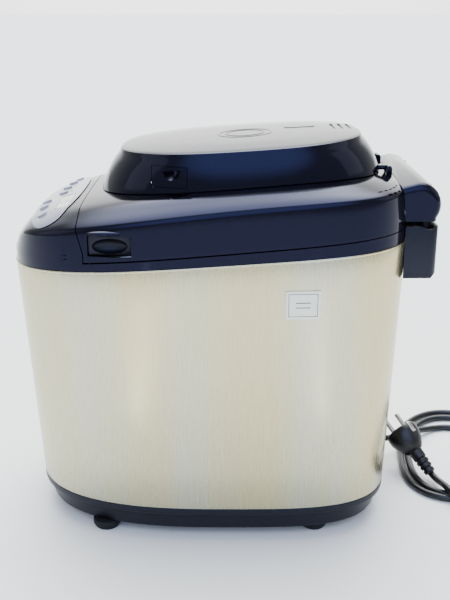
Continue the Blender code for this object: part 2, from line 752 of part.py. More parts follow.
def make_dispenser(liner):
    """Fruit-and-nut box and yeast hopper, each with a flap on stub pins that drops open into the oven."""
    for name, (low, high) in (("nut", NUT_BOX), ("yeast", YEAST_BOX)):
        foot = seam(0, low[1]) - 2.5 * MM
        clear = 0.5 * MM
        boolean(liner, box(
            f"{name}_opening", (low[0] - clear, low[1] - clear, 0.2), (high[0] + clear, high[1] + clear, 0.4)
        ))
        hopper = box(f"{name}_dispenser_box", (*low, foot), (*high, BOX_TOP), "grey_plastic")
        boolean(hopper, box(
            f"{name}_hollow",
            (low[0] + BOX_WALL, low[1] + BOX_WALL, foot - 1 * MM),
            (high[0] - BOX_WALL, high[1] - BOX_WALL, BOX_TOP + 1 * MM),
        ))
        edge = BOX_WALL + clear
        flap_foot = foot + 1.4 * MM
        flap = box(
            f"{name}_flap",
            (low[0] + edge, low[1] + edge, flap_foot),
            (high[0] - edge, high[1] - edge, flap_foot + FLAP_THICKNESS), "oven_steel",
        )
        pin = (low[0] + edge + 1.0 * MM, flap_foot + FLAP_THICKNESS / 2)
        ends = (low[1] + 0.3 * MM, high[1] - 0.3 * MM)
        boolean(flap, drum(
            f"{name}_flap_pin", FLAP_PIN_RADIUS, (pin[0], ends[0], pin[1]), (pin[0], ends[1], pin[1]), steps=12
        ), "UNION")
        boolean(hopper, drum(
            f"{name}_pin_bore", FLAP_PIN_RADIUS + RUNNING,
            (pin[0], low[1] - 1 * MM, pin[1]), (pin[0], high[1] + 1 * MM, pin[1]), steps=12,
        ))


GRIP_Y = (FRONT + 80.3 * MM, FRONT + 118.3 * MM)
GRIP_Z = (SEAM_HEIGHT - 2.9 * MM, SEAM_HEIGHT + 15.1 * MM)


def make_grips(shell):
    """Finger grips set into both sides of the main lid."""
    low_y, high_y = GRIP_Y
    low_z, high_z = GRIP_Z
    reach = TOP.half_width_at((low_y + high_y) / 2)
    inner = reach - 16 * MM
    for side, sign in (("left", -1), ("right", 1)):
        x_low, x_high = sorted((sign * inner, sign * (reach + 10 * MM)))
        boolean(shell, box(f"grip_hole_{side}", (x_low, low_y, low_z), (x_high, high_y, high_z)))
        clear = 0.4 * MM
        face = TOP.half_width_at(low_y) - 3.4 * MM
        x_low, x_high = sorted((sign * (inner + 1 * MM), sign * face))
        cup = box(
            f"lid_grip_{side}",
            (x_low, low_y + clear, low_z + clear), (x_high, high_y - clear, high_z - clear), "black_plastic",
        )
        middle = (sign * (face + 1 * MM), (low_y + high_y) / 2, (low_z + high_z) / 2 - 1 * MM)
        scoop = bmesh.new()
        bmesh.ops.create_uvsphere(scoop, u_segments=16, v_segments=10, radius=1)
        bmesh.ops.scale(scoop, vec=(6.5 * MM, 15.5 * MM, 7 * MM), verts=scoop.verts)
        bmesh.ops.translate(scoop, vec=middle, verts=scoop.verts)
        boolean(cup, finish(f"grip_scoop_{side}", scoop))


def hump_line(inset):
    """The hinge cover's side outline as (y, z) points, moved in by an inset."""
    radius = HUMP_RADIUS - inset
    middle_y = DEPTH / 2 - HUMP_RADIUS
    front = TOP.rear - 12 * MM
    line = [(front, HUMP_FOOT), (front, HUMP_Z + 16.9 * MM - inset)]
    for step in range(8):
        angle = math.radians(92 - 18 * step)
        line.append((middle_y + radius * math.cos(angle), HUMP_Z + radius * math.sin(angle)))
    line.append((middle_y + radius * math.cos(math.radians(34)) + 0.1 * MM, HUMP_FOOT))
    return line


def hump(name, slot=None, inset=0.0, foot=HUMP_FOOT, steps=3):
    """The hinge cover's block with rounded ends, lofted across the machine."""
    stations = []
    for step in range(steps + 1):
        angle = math.pi / 2 * step / steps
        reach = HUMP_HALF_WIDTH - inset - HUMP_ROUND * (1 - math.sin(angle))
        stations.append((reach, HUMP_ROUND * (1 - math.cos(angle))))
    stations = [(-x, depth) for x, depth in reversed(stations)] + stations
    rings = []
    for x, depth in stations:
        line = hump_line(inset + depth)
        rings.append([(x, y, foot if z == HUMP_FOOT else z) for y, z in line])
    bm = bmesh.new()
    rows = [[bm.verts.new(point) for point in ring] for ring in rings]
    for one, other in zip(rows, rows[1:]):
        for i in range(len(one)):
            j = (i + 1) % len(one)
            bm.faces.new((one[i], one[j], other[j], other[i]))
    bm.faces.new(rows[0])
    bm.faces.new(rows[-1])
    return finish(name, bm, slot)


def make_main_hinge():
    """Hinge cover on the lid, hinge housing on the body, and the two pins between them."""
    cover = hump("lid_hinge_cover", "black_gloss")
    boolean(cover, top_form("lid_clearance", lambda x, y: 0.22, grow=GAP, lift=GAP))
    boolean(cover, hump("hump_hollow", inset=PLASTIC_WALL, foot=HUMP_FOOT - 5 * MM))
    housing_rear = DEPTH / 2 - 1.2 * MM
    chamfer = 5 * MM
    low, high = HOUSING_FOOT - 1 * MM, HOUSING_TOP + 1 * MM
    side = [
        (TOP.rear - 50 * MM, low), (housing_rear - chamfer - 1 * MM, low),
        (housing_rear + 1 * MM, HOUSING_FOOT + chamfer + 1 * MM), (housing_rear + 1 * MM, high),
        (TOP.rear - 50 * MM, high),
    ]
    half = HUMP_HALF_WIDTH
    plan = [(half, TOP.rear - 40 * MM)]
    for step in range(5):
        angle = math.radians(22.5 * step)
        plan.append((
            half - HUMP_ROUND + HUMP_ROUND * math.cos(angle),
            housing_rear - HUMP_ROUND + HUMP_ROUND * math.sin(angle),
        ))
    plan += [(-x, y) for x, y in reversed(plan)]
    housing = prism("rear_hinge_housing", plan, "Z", HOUSING_FOOT, HOUSING_TOP, "black_plastic")
    boolean(housing, prism("housing_side", side, "X", -half - 1 * MM, half + 1 * MM), "INTERSECT")
    boolean(housing, top_form("body_clearance", lambda x, y: 0.2, grow=0.5 * MM + GAP))
    wall = PLASTIC_WALL
    boolean(housing, box(
        "housing_hollow",
        (-half + wall, TOP.reach_at(half) + wall, HOUSING_FOOT + wall + 3 * MM),
        (half - wall, housing_rear - wall - 1.4 * MM, HOUSING_TOP + 5 * MM),
    ))
    sweep = math.hypot(DEPTH / 2 - HINGE_Y, HINGE_Z - HUMP_FOOT) + 0.5 * MM
    boolean(housing, drum("hump_sweep", sweep, (-half - 1 * MM, HINGE_Y, HINGE_Z), (half + 1 * MM, HINGE_Y, HINGE_Z)))
    for side_name, sign in (("left", -1), ("right", 1)):
        ear_x = sign * EAR_X
        half_ear = EAR_WIDTH / 2
        centre = (HINGE_Y, HINGE_Z)
        boolean(housing, knuckle(
            f"ear_{side_name}", ear_x - half_ear, ear_x + half_ear, centre, EAR_RADIUS, HOUSING_FOOT + 1 * MM
        ), "UNION")
        lug_x = sign * (EAR_X - EAR_WIDTH - 1 * MM)
        boolean(cover, knuckle(
            f"lug_{side_name}", lug_x - half_ear, lug_x + half_ear, centre, EAR_RADIUS, HUMP_Z + 17 * MM
        ), "UNION")
        low, high = sorted((sign * (EAR_X - EAR_WIDTH * 2), sign * (EAR_X + EAR_WIDTH)))
        bore = drum(
            f"bore_{side_name}", HINGE_PIN_RADIUS + RUNNING, (low, HINGE_Y, HINGE_Z), (high, HINGE_Y, HINGE_Z), steps=16
        )
        boolean(housing, bore)
        boolean(cover, bore)
        ends = sorted((sign * (EAR_X - 7.4 * MM), sign * (EAR_X + 2.4 * MM)))
        drum(
            f"lid_hinge_pin_{side_name}", HINGE_PIN_RADIUS,
            (ends[0], HINGE_Y, HINGE_Z), (ends[1], HINGE_Y, HINGE_Z), "wire_steel", steps=12,
        )
        notch_half = half_ear + 0.7 * MM
        boolean(cover, box(
            f"ear_notch_{side_name}",
            (ear_x - notch_half, HINGE_Y + 2 * MM, HUMP_FOOT - 1 * MM),
            (ear_x + notch_half, DEPTH / 2 + 2 * MM, HINGE_Z + 2 * MM),
        ))


def crease_height(x, y):
    """Height of the dome's upper edge."""
    return CREASE_HEIGHT + CREASE_SLOPE * y


def dome_rings(offset, foot):
    """The dome's rings from its lower edge to its crown, moved in and down by an offset."""
    def raised(by):
        return lambda x, y: crease_height(x, y) + by - offset

    def waist(x, y):
        return (foot(x, y) + crease_height(x, y)) / 2 + 1 * MM

    steps = [
        DOME.inset(offset).ring(foot, 48),
        DOME.inset(DOME_TAPER * 0.35 + offset, DOME_TAPER_ENDS * 0.42 + offset).ring(waist, 48),
        CREASE.inset(offset).ring(raised(-2.5 * MM), 48),
    ]
    for depth, rise in ((1.5 * MM, 0.2), (5 * MM, 0.42), (16 * MM, 0.62), (40 * MM, 0.88)):
        steps.append(CREASE.inset(depth + offset).ring(raised(DOME_CROWN * rise), 48))
    return steps


def dome_peak(offset):
    """The crown's middle point."""
    return (0, DOME_MIDDLE, crease_height(0, DOME_MIDDLE) + DOME_CROWN - offset)


def dome_underside(x, y):
    """The height that the dome is first built down to, before the roof's shape is cut from it."""
    return roof_height(x, y) - 4 * MM


def make_dome(lid):
    """Domed second lid with its inner plate, its side grips and its hinge on the main lid."""
    middle = (0, DOME_MIDDLE)
    foot = dome_underside
    shell = loft(
        "dome_shell", dome_rings(0, foot), "black_gloss", start=(*middle, foot(*middle)), end=dome_peak(0)
    )
    boolean(shell, loft(
        "dome_hollow", dome_rings(DOME_WALL, lambda x, y: roof_height(x, y) - 6 * MM),
        start=(*middle, foot(*middle) - 20 * MM), end=dome_peak(DOME_WALL),
    ))
    inset = (DOME_TAPER * 0.42 + DOME_WALL + 0.5 * MM, DOME_TAPER_ENDS * 0.45 + DOME_WALL + 0.5 * MM)
    edge = DOME.inset(*inset)

    def plate(rise):
        return lambda x, y: CREASE_HEIGHT - 22.4 * MM + rise + CREASE_SLOPE * (y - AXIS_Y)

    inner = loft(
        "dome_inner_plate", [edge.ring(plate(0), 40), edge.ring(plate(2 * MM), 40)], "grey_plastic",
        start=(*middle, plate(0)(*middle)), end=(*middle, plate(2 * MM)(*middle)),
    )
    make_dome_grips(shell, inner)
    make_dome_hinge(shell, lid)


DOME_GRIP_LOW = Vector((DOME_HALF_WIDTH - 27 * MM, DOME_FRONT + 53.5 * MM, CREASE_HEIGHT - 29.4 * MM))
DOME_GRIP_HIGH = DOME_GRIP_LOW + Vector((40, 32, 18)) * MM


def make_dome_grips(shell, plate):
    """Finger grips let into both sides of the dome."""
    for side, sign in (("left", -1), ("right", 1)):
        def span(margin, sign=sign):
            low = DOME_GRIP_LOW - Vector((margin, margin, margin))
            high = DOME_GRIP_HIGH + Vector((margin, margin, margin))
            ends = sorted((sign * low.x, sign * high.x))
            return (ends[0], low.y, low.z), (ends[1], high.y, high.z)

        boolean(shell, box(f"dome_grip_hole_{side}", *span(0)))
        boolean(plate, box(f"dome_grip_notch_{side}", *span(0.5 * MM)))
        cup = loft(
            f"dome_grip_{side}", dome_rings(0.8 * MM, dome_underside), "black_plastic",
            start=(0, DOME_MIDDLE, 0.31), end=dome_peak(0.8 * MM),
        )
        boolean(cup, box(f"dome_grip_block_{side}", *span(-0.4 * MM)), "INTERSECT")
        boolean(cup, loft(
            f"dome_grip_back_{side}", dome_rings(11 * MM, dome_underside),
            start=(0, DOME_MIDDLE, 0.31), end=dome_peak(11 * MM),
        ))
        scoop = bmesh.new()
        bmesh.ops.create_uvsphere(scoop, u_segments=16, v_segments=10, radius=1)
        bmesh.ops.scale(scoop, vec=(8.5 * MM, 13 * MM, 12 * MM), verts=scoop.verts)
        bmesh.ops.translate(scoop, vec=(sign * (DOME_HALF_WIDTH - 9.5 * MM), DOME_GRIP_LOW.y + 16 * MM, DOME_GRIP_LOW.z + 3 * MM), verts=scoop.verts)
        boolean(cup, finish(f"dome_scoop_{side}", scoop))


def make_dome_hinge(shell, lid):
    """Two tabs with stub pins at the dome's rear, each between two posts on the lid's roof."""
    y, z, radius = DOME_HINGE_Y, DOME_HINGE_Z, DOME_HINGE_RADIUS
    half_tab, gap, post = 3 * MM, 0.4 * MM, 3 * MM
    boolean(shell, top_form("roof_clearance", lambda x, y: 0.25, lift=LID_GAP))
    for side, sign in (("left", -1), ("right", 1)):
        x = sign * DOME_HINGE_X
        root = DOME.inset(DOME_WALL).reach_at(x)
        low, high = x - half_tab, x + half_tab
        boolean(shell, box(f"dome_tab_{side}", (low, root - 1 * MM, z - 1.5 * MM), (high, y, z + radius)), "UNION")
        boolean(shell, drum(f"dome_knuckle_{side}", radius, (low, y, z), (high, y, z), steps=16), "UNION")
        reach = half_tab + gap + post - 0.4 * MM
        boolean(shell, drum(f"dome_stub_{side}", 1.3 * MM, (x - reach, y, z), (x + reach, y, z), steps=12), "UNION")
        for place, start in (("inner", x - half_tab - gap - post), ("outer", x + half_tab + gap)):
            foot = roof_height(x, y + radius) - 1.2 * MM
            leaf = knuckle(f"post_{side}_{place}", start, start + post, (y, z), radius, foot)
            boolean(lid, leaf, "UNION")
            boolean(lid, drum(
                f"post_bore_{side}_{place}", 1.3 * MM + RUNNING, (start - 1 * MM, y, z),
                (start + post + 1 * MM, y, z), steps=12,
            ))


def sector(start, end, inner, outer, steps=4):
    """(x, y) points of a slice of a ring about the upright axis, in degrees."""
    angles = [math.radians(start + (end - start) * i / steps) for i in range(steps + 1)]
    far = [(outer * math.cos(a), AXIS_Y + outer * math.sin(a)) for a in angles]
    near = [(inner * math.cos(a), AXIS_Y + inner * math.sin(a)) for a in reversed(angles)]
    return far + near


def make_chamber():
    """Oven chamber with its heating element and temperature sensor."""
    half, corner, foot = CHAMBER_HALF, CHAMBER_CORNER, CHAMBER_FOOT
    wall = SHEET_WALL
    top = lambda x, y: seam(x, y) - PLASTIC_WALL - 0.6 * MM - GAP - wall
    over = lambda x, y: top(x, y) + wall
    inner, inner_corner = grown(half, -wall), corner - wall
    chamber = loft(
        "oven_chamber",
        [
            rounded_ring(grown(half, -8 * MM), corner - 8 * MM, foot),
            rounded_ring(half, corner, foot + 8 * MM),
            rounded_ring(half, corner, top),
            rounded_ring(grown(half, 4 * MM), corner + 4 * MM, top),
            rounded_ring(grown(half, 4 * MM), corner + 4 * MM, over),
            rounded_ring(inner, inner_corner, over),
            rounded_ring(inner, inner_corner, foot + 8 * MM),
            rounded_ring(grown(half, -8.4 * MM), corner - 8.4 * MM, foot + wall),
        ],
        "oven_steel", start=(0, AXIS_Y, foot), end=(0, AXIS_Y, foot + wall),
    )
    rod = 3.2 * MM
    height = foot + 16 * MM
    half_rod = grown(inner, -(rod + 2.8 * MM))
    terminal, front = 20 * MM, AXIS_Y - half_rod[1]
    corner_rod = 36 * MM
    path = [(terminal, front - 20 * MM), (terminal, front - 3.5 * MM), (terminal + 3.5 * MM, front)]
    for sign, start in ((1, -90), (1, 0), (-1, 90), (-1, 180)):
        tall = -1 if start in (-90, 180) else 1
        for step in range(5):
            angle = math.radians(start + 22.5 * step)
            path.append((
                sign * (half_rod[0] - corner_rod) + corner_rod * math.cos(angle),
                AXIS_Y + tall * (half_rod[1] - corner_rod) + corner_rod * math.sin(angle),
            ))
    path += [(-terminal - 3.5 * MM, front), (-terminal, front - 3.5 * MM), (-terminal, front - 20 * MM)]
    tube("heating_element", [(x, y, height) for x, y in path], rod, "wire_steel")
    wall_y = AXIS_Y - half[1]
    for side, x in (("left", -terminal), ("right", terminal)):
        boolean(chamber, drum(
            f"terminal_hole_{side}", rod + 0.5 * MM, (x, wall_y - 5 * MM, height), (x, wall_y + 4 * MM, height), steps=12
        ))
    probe = (45 * MM, 120 * MM)
    drum(
        "temperature_sensor", 3 * MM, (probe[0], wall_y - 9 * MM, probe[1]), (probe[0], wall_y + 11 * MM, probe[1]),
        "wire_steel", steps=12,
    )
    boolean(chamber, drum(
        "sensor_hole", 3.4 * MM, (probe[0], wall_y - 5 * MM, probe[1]), (probe[0], wall_y + 4 * MM, probe[1]), steps=12
    ))
    bush = SHAFT_RADIUS + RUNNING
    outer = 9 * MM
    boolean(chamber, drum("bush_hole", outer + GAP, (0, AXIS_Y, foot - 5 * MM), (0, AXIS_Y, foot + 5 * MM)))
    turned(
        "shaft_bearing",
        [
            (outer, foot + 5 * MM), (outer, foot - GAP), (outer + 5 * MM, foot - GAP),
            (outer + 5 * MM, foot - 3 * MM), (outer, foot - 3 * MM), (outer, foot - 8 * MM), (bush, foot - 8 * MM),
            (bush, foot + 5 * MM),
        ],
        "brass", steps=20, place=(0, AXIS_Y, 0),
    )
    base = foot + wall + GAP
    mount = turned(
        "pan_mount",
        [
            (45.5 * MM, base + 18 * MM), (45.5 * MM, base), (33 * MM, base), (33 * MM, base + 2 * MM),
            (42 * MM, base + 2 * MM), (42 * MM, base + 18 * MM),
        ],
        "oven_steel", steps=32, place=(0, AXIS_Y, 0),
    )
    for side, start in (("right", 0), ("left", 180)):
        lip = prism(
            f"mount_lip_{side}", sector(start - LUG_HALF_ANGLE, start + LUG_HALF_ANGLE, 38.2 * MM, 43.5 * MM),
            "Z", LUG_TOP + 0.6 * MM, LUG_TOP + 3.4 * MM,
        )
        boolean(mount, lip, "UNION")
    return chamber


LUG_HALF_ANGLE = 7
LUG_TOP = CHAMBER_FOOT + 15.5 * MM
PAN_TWIST = 15


def make_pan():
    """Bread pan with its lock ring and bail, and the kneading blade on its shaft."""
    half, corner, wall = PAN_HALF, PAN_CORNER, PAN_WALL
    slim = grown(half, -5 * MM)
    round_foot = 9 * MM
    inner, inner_slim = grown(half, -wall), grown(slim, -wall)
    pan = loft(
        "bread_pan",
        [
            rounded_ring(grown(slim, -round_foot), corner - round_foot, PAN_FOOT),
            rounded_ring(slim, corner, PAN_FOOT + round_foot),
            rounded_ring(half, corner, PAN_RIM - wall),
            rounded_ring(grown(half, PAN_LIP), corner + PAN_LIP, PAN_RIM - wall),
            rounded_ring(grown(half, PAN_LIP), corner + PAN_LIP, PAN_RIM),
            rounded_ring(inner, corner - wall, PAN_RIM),
            rounded_ring(inner_slim, corner - wall, PAN_FOOT + round_foot),
            rounded_ring(grown(slim, -round_foot), corner - round_foot, PAN_FOOT + wall),
        ],
        "pan_coating", start=(0, AXIS_Y, PAN_FOOT), end=(0, AXIS_Y, PAN_FOOT + wall),
    )
    bore = PAN_SHAFT_RADIUS + RUNNING
    hub_low, hub_high = PAN_FOOT - 2.5 * MM, PAN_FOOT + 15 * MM
    boolean(pan, drum("pan_hub", 11 * MM, (0, AXIS_Y, hub_low), (0, AXIS_Y, hub_high), tip=8 * MM), "UNION")
    boolean(pan, drum("pan_bore", bore, (0, AXIS_Y, hub_low - 5 * MM), (0, AXIS_Y, hub_high + 5 * MM), steps=16))
    pivot_hole = BAIL_RADIUS + 0.4 * MM
    for side, sign in (("left", -1), ("right", 1)):
        boolean(pan, drum(
            f"pivot_hole_{side}", pivot_hole,
            (sign * (half[0] - 7 * MM), AXIS_Y, BAIL_PIVOT_Z), (sign * (half[0] + 3 * MM), AXIS_Y, BAIL_PIVOT_Z), steps=12,
        ))
    ring_top = PAN_FOOT - GAP
    ring = turned(
        "pan_lock_ring",
        [
            (36 * MM, ring_top), (36 * MM, LUG_TOP - 4 * MM), (32 * MM, LUG_TOP - 4 * MM), (32 * MM, ring_top),
        ],
        "oven_steel", steps=32, place=(0, AXIS_Y, 0),
    )
    for side, start in (("right", 0), ("left", 180)):
        boolean(ring, prism(
            f"ring_lug_{side}", sector(start - LUG_HALF_ANGLE, start + LUG_HALF_ANGLE, 34 * MM, 40.6 * MM),
            "Z", LUG_TOP - 3.6 * MM, LUG_TOP,
        ), "UNION")
    make_bail()
    turned(
        "pan_shaft",
        [
            (0, PAN_FOOT + 28 * MM), (PAN_SHAFT_RADIUS, PAN_FOOT + 28 * MM), (PAN_SHAFT_RADIUS, PAN_FOOT - 7 * MM),
            (0, PAN_FOOT - 7 * MM),
        ],
        "wire_steel", steps=16, place=(0, AXIS_Y, 0),
    )
    make_coupling("pan_coupling", PAN_FOOT - 8 * MM, PAN_FOOT - 4 * MM, -9 * MM, 90, PAN_SHAFT_RADIUS + GAP)
    make_blade()


def make_bail():
    """Wire bail of the pan, folded to the front on the pan's rim."""
    half_span = PAN_HALF[0] + PAN_LIP + 1.6 * MM + BAIL_RADIUS
    corner = 32 * MM
    crossing = BAIL_ARM - 19 * MM
    lean = math.asin((PAN_RIM + BAIL_RADIUS + 0.7 * MM - BAIL_PIVOT_Z) / crossing)
    flat = [(half_span - 9.4 * MM, 0), (half_span - 3 * MM, 0), (half_span, 3 * MM)]
    for step in range(5):
        angle = math.radians(22.5 * step)
        flat.append((
            half_span - corner + corner * math.cos(angle), BAIL_ARM - corner + corner * math.sin(angle)
        ))
    flat += [(-x, out) for x, out in reversed(flat)]
    points = [
        (x, AXIS_Y - out * math.cos(lean), BAIL_PIVOT_Z + out * math.sin(lean)) for x, out in flat
    ]
    tube("bail_handle", points, BAIL_RADIUS, "wire_steel", resolution=1)


def make_coupling(name, low, high, dog_height, start, bore):
    """A disc with two dogs, on the drive shaft or under the pan."""
    outer = 14 * MM
    disc = turned(
        name, [(outer, high), (outer, low), (bore, low), (bore, high)], "grey_plastic", steps=24, place=(0, AXIS_Y, 0)
    )
    edges = (low + dog_height, low + 1 * MM) if dog_height < 0 else (high - 1 * MM, high + dog_height)
    for turn in (0, 180):
        middle = start + turn
        dog = prism(
            f"{name}_dog_{turn}", sector(middle - 25, middle + 25, 8 * MM, 13.4 * MM), "Z", *edges
        )
        boolean(disc, dog, "UNION")
    return disc


def make_blade():
    """Kneading blade: a hub that drops over the pan shaft, with one fin."""
    low, high = PAN_FOOT + 16 * MM, PAN_FOOT + 36 * MM
    bore = PAN_SHAFT_RADIUS + GAP
    blade = turned(
        "kneading_blade",
        [(0, high), (6 * MM, high), (8.5 * MM, high - 3 * MM), (9.5 * MM, low), (0, low)],
        "pan_coating", steps=20, place=(0, AXIS_Y, 0),
    )
    fin = [
        (5 * MM, low + 0.5 * MM), (50 * MM, low + 0.5 * MM), (49 * MM, low + 9 * MM), (36 * MM, low + 20 * MM),
        (16 * MM, low + 30 * MM), (6 * MM, low + 33 * MM), (3 * MM, low + 15 * MM),
    ]
    plate = prism("blade_fin", fin, "Y", AXIS_Y - 2.5 * MM, AXIS_Y + 2.5 * MM)
    boolean(blade, plate, "UNION")
    boolean(blade, drum("blade_bore", bore, (0, AXIS_Y, low - 5 * MM), (0, AXIS_Y, PAN_FOOT + 28.5 * MM), steps=16))


def belt_ring(offset, height):
    """A ring round both pulleys at an offset from their rims."""
    large, small = PULLEY_RADIUS + offset, MOTOR_PULLEY_RADIUS + offset
    spread = AXIS_Y - MOTOR_Y
    lean = math.asin((large - small) / spread)
    ring = []
    for step in range(17):
        angle = -lean + (math.pi + 2 * lean) * step / 16
        ring.append((large * math.cos(angle), AXIS_Y + large * math.sin(angle), height))
    for step in range(9):
        angle = math.pi + lean + (math.pi - 2 * lean) * step / 8
        ring.append((small * math.cos(angle), MOTOR_Y + small * math.sin(angle), height))
    return ring


def make_drive():
    """Drive shaft with its pulley and coupling, belt, motor pulley, motor and bracket."""
    low, high = PULLEY_Z
    place = (0, AXIS_Y, 0)
    shaft_top = CHAMBER_FOOT + 14 * MM
    shaft_foot = low - 4 * MM
    drum("drive_shaft", SHAFT_RADIUS, (0, AXIS_Y, shaft_foot), (0, AXIS_Y, shaft_top), "wire_steel", steps=20)
    bore = SHAFT_RADIUS + GAP
    turned(
        "large_pulley",
        [
            (PULLEY_RADIUS, high), (PULLEY_RADIUS, low), (PULLEY_RADIUS - 4 * MM, low),
            (PULLEY_RADIUS - 5 * MM, low + 4 * MM), (13 * MM, low + 4 * MM), (12 * MM, low), (bore, low), (bore, high),
        ],
        "grey_plastic", steps=32, place=place,
    )
    dog_low = CHAMBER_FOOT + 8 * MM
    make_coupling("drive_coupling", dog_low, dog_low + 8 * MM, 9 * MM, 0, bore)
    turned(
        "motor_pulley",
        [
            (0, high + 24 * MM), (3 * MM, high + 24 * MM), (3 * MM, high), (MOTOR_PULLEY_RADIUS, high),
            (MOTOR_PULLEY_RADIUS, low), (3 * MM, low), (3 * MM, low - 4 * MM), (0, low - 4 * MM),
        ],
        "wire_steel", steps=20, place=(0, MOTOR_Y, 0),
    )
    rings = [
        belt_ring(GAP, low + 1 * MM), belt_ring(GAP + BELT_THICKNESS, low + 1 * MM),
        belt_ring(GAP + BELT_THICKNESS, high - 1 * MM), belt_ring(GAP, high - 1 * MM),
    ]
    loft("drive_belt", rings, "rubber", hollow=True)
    motor_foot = high + 26 * MM
    turned(
        "motor",
        [
            (0, motor_foot + 58 * MM), (8 * MM, motor_foot + 58 * MM), (8 * MM, motor_foot + 54 * MM),
            (MOTOR_RADIUS, motor_foot + 54 * MM), (MOTOR_RADIUS, motor_foot + 6 * MM),
            (MOTOR_RADIUS - 4 * MM, motor_foot), (0, motor_foot),
        ],
        "oven_steel", steps=28, place=(0, MOTOR_Y, 0),
    )
    plate_top = motor_foot - GAP
    leg, thick = 34 * MM, 3 * MM
    floor = TRAY_FOOT + 3 * MM + GAP
    arch = [
        (-leg, floor), (-leg, plate_top), (leg, plate_top), (leg, floor),
        (leg - thick, floor), (leg - thick, plate_top - thick), (-leg + thick, plate_top - thick), (-leg + thick, floor),
    ]
    bracket = prism("motor_bracket", arch, "Y", MOTOR_Y - 20 * MM, MOTOR_Y + 20 * MM, "oven_steel")
    boolean(bracket, drum("bracket_hole", 6 * MM, (0, MOTOR_Y, plate_top - 8 * MM), (0, MOTOR_Y, plate_top + 4 * MM)))


def side_frame(y, z):
    """(point, outward normal, up the wall) on the sleeve's right side at this place."""
    share = (z - SLEEVE_FOOT) / (sleeve_top(0, y) - SLEEVE_FOOT)
    low, high = FOOT.half_width_at(y), TOP.half_width_at(y)
    x = low + (high - low) * share
    up = Vector(((high - low), 0, sleeve_top(0, y) - SLEEVE_FOOT)).normalized()
    step = 5 * MM
    along = Vector((TOP.half_width_at(y + step) - TOP.half_width_at(y - step), 2 * step, 0)).normalized()
    return Vector((x, y, z)), along.cross(up).normalized(), up


LABEL_SIZE = (30.5 * MM, 26 * MM)
LABEL_PLACE = (AXIS_Y + 53.5 * MM, SLEEVE_HEAD - 35.2 * MM)


def make_label():
    """Plain square of film on the sleeve's right side."""
    place, out, up = side_frame(*LABEL_PLACE)
    width, height = LABEL_SIZE
    label = box("side_label", (-width / 2, -height / 2, 0), (width / 2, height / 2, 0.3 * MM), "label_film")
    along = up.cross(out)
    frame = Matrix((along, up, out)).transposed().to_4x4()
    label.matrix_world = Matrix.Translation(place + out * 0.9 * MM) @ frame


# The cord's route on the floor behind the machine, in mm, between the strain relief and the plug
CORD_ROUTE = (
    (-59, 195, 18), (-68, 205, 15), (-80, 215, 13), (-92, 226, 10), (-104, 240, 6), (-111.5, 253, 4),
    (-114, 267, 3.7), (-110, 281.5, 3.7), (-98.5, 292, 3.7), (-82, 296, 3.7), (-52, 293.5, 3.7),
    (-18, 283.5, 3.7), (10, 271, 3.7), (26, 262, 3.7), (35.5, 251, 3.7), (38.3, 238, 3.7), (35, 226, 3.7),
    (25.5, 215.5, 3.7), (10, 209, 3.7), (-10, 206.5, 3.7), (-30, 207, 3.7), (-50, 209, 3.7),
    (-72, 212.5, 3.7), (-96, 220.5, 3.7), (-118, 233, 3.7), (-133.5, 248.5, 3.7), (-140, 266, 3.7),
    (-137, 285, 3.7), (-122, 300, 3.7), (-98, 305.5, 3.7), (-62, 303.5, 3.7), (-22, 294.5, 3.7),
    (15, 281, 3.7), (38, 265, 3.7), (47, 247, 3.7), (46, 229, 3.7), (37, 213, 3.7), (21, 202, 3.7),
    (2, 197.5, 3.7), (-20, 197.5, 3.7), (-46, 200.5, 3.7), (-72, 204, 3.7), (-98, 209.5, 3.7),
    (-122, 221.5, 3.7), (-141, 238, 3.7), (-152.5, 258, 3.7), (-154, 280, 3.7), (-145, 300, 3.7),
    (-124, 314.5, 3.7), (-95, 321, 3.7), (-62, 323, 3.7), (-28, 321.5, 3.7), (4, 317, 3.7),
    (32, 306.5, 3.7), (53, 291, 3.7), (65, 272, 3.7), (66, 256, 4.6), (60, 244.5, 7.6), (50.5, 236.5, 11),
    (39, 232, 12), (28, 229.8, 10), (17, 227.4, 7.8), (10.5, 225.6, 7.6),
)
CORD_SPACING = 17.5 * MM


def relief_place():
    """(root, outward direction) of the strain relief on the base tray's rear wall."""
    wall = FOOT.inset(6.4 * MM)
    step = 1 * MM
    root = Vector((RELIEF_X, wall.reach_at(RELIEF_X), RELIEF_Z))
    slope = (wall.reach_at(RELIEF_X + step) - wall.reach_at(RELIEF_X - step)) / (2 * step)
    return root, Vector((-slope, 1, 0)).normalized()


def cord_points():
    """The cord's path: a straight lead at each end, and an even spacing along the route between them."""
    root, out = relief_place()
    start = root + out * (RELIEF_LENGTH + GAP)
    back = (PLUG_TAIL - PLUG_FACE).normalized()
    end = PLUG_TAIL + back * GAP
    lead = 5 * MM
    route = [start + out * lead, *[Vector(point) * MM for point in CORD_ROUTE], end + back * lead * 0.6]
    return [start, *smooth_curve(route, CORD_SPACING), end]


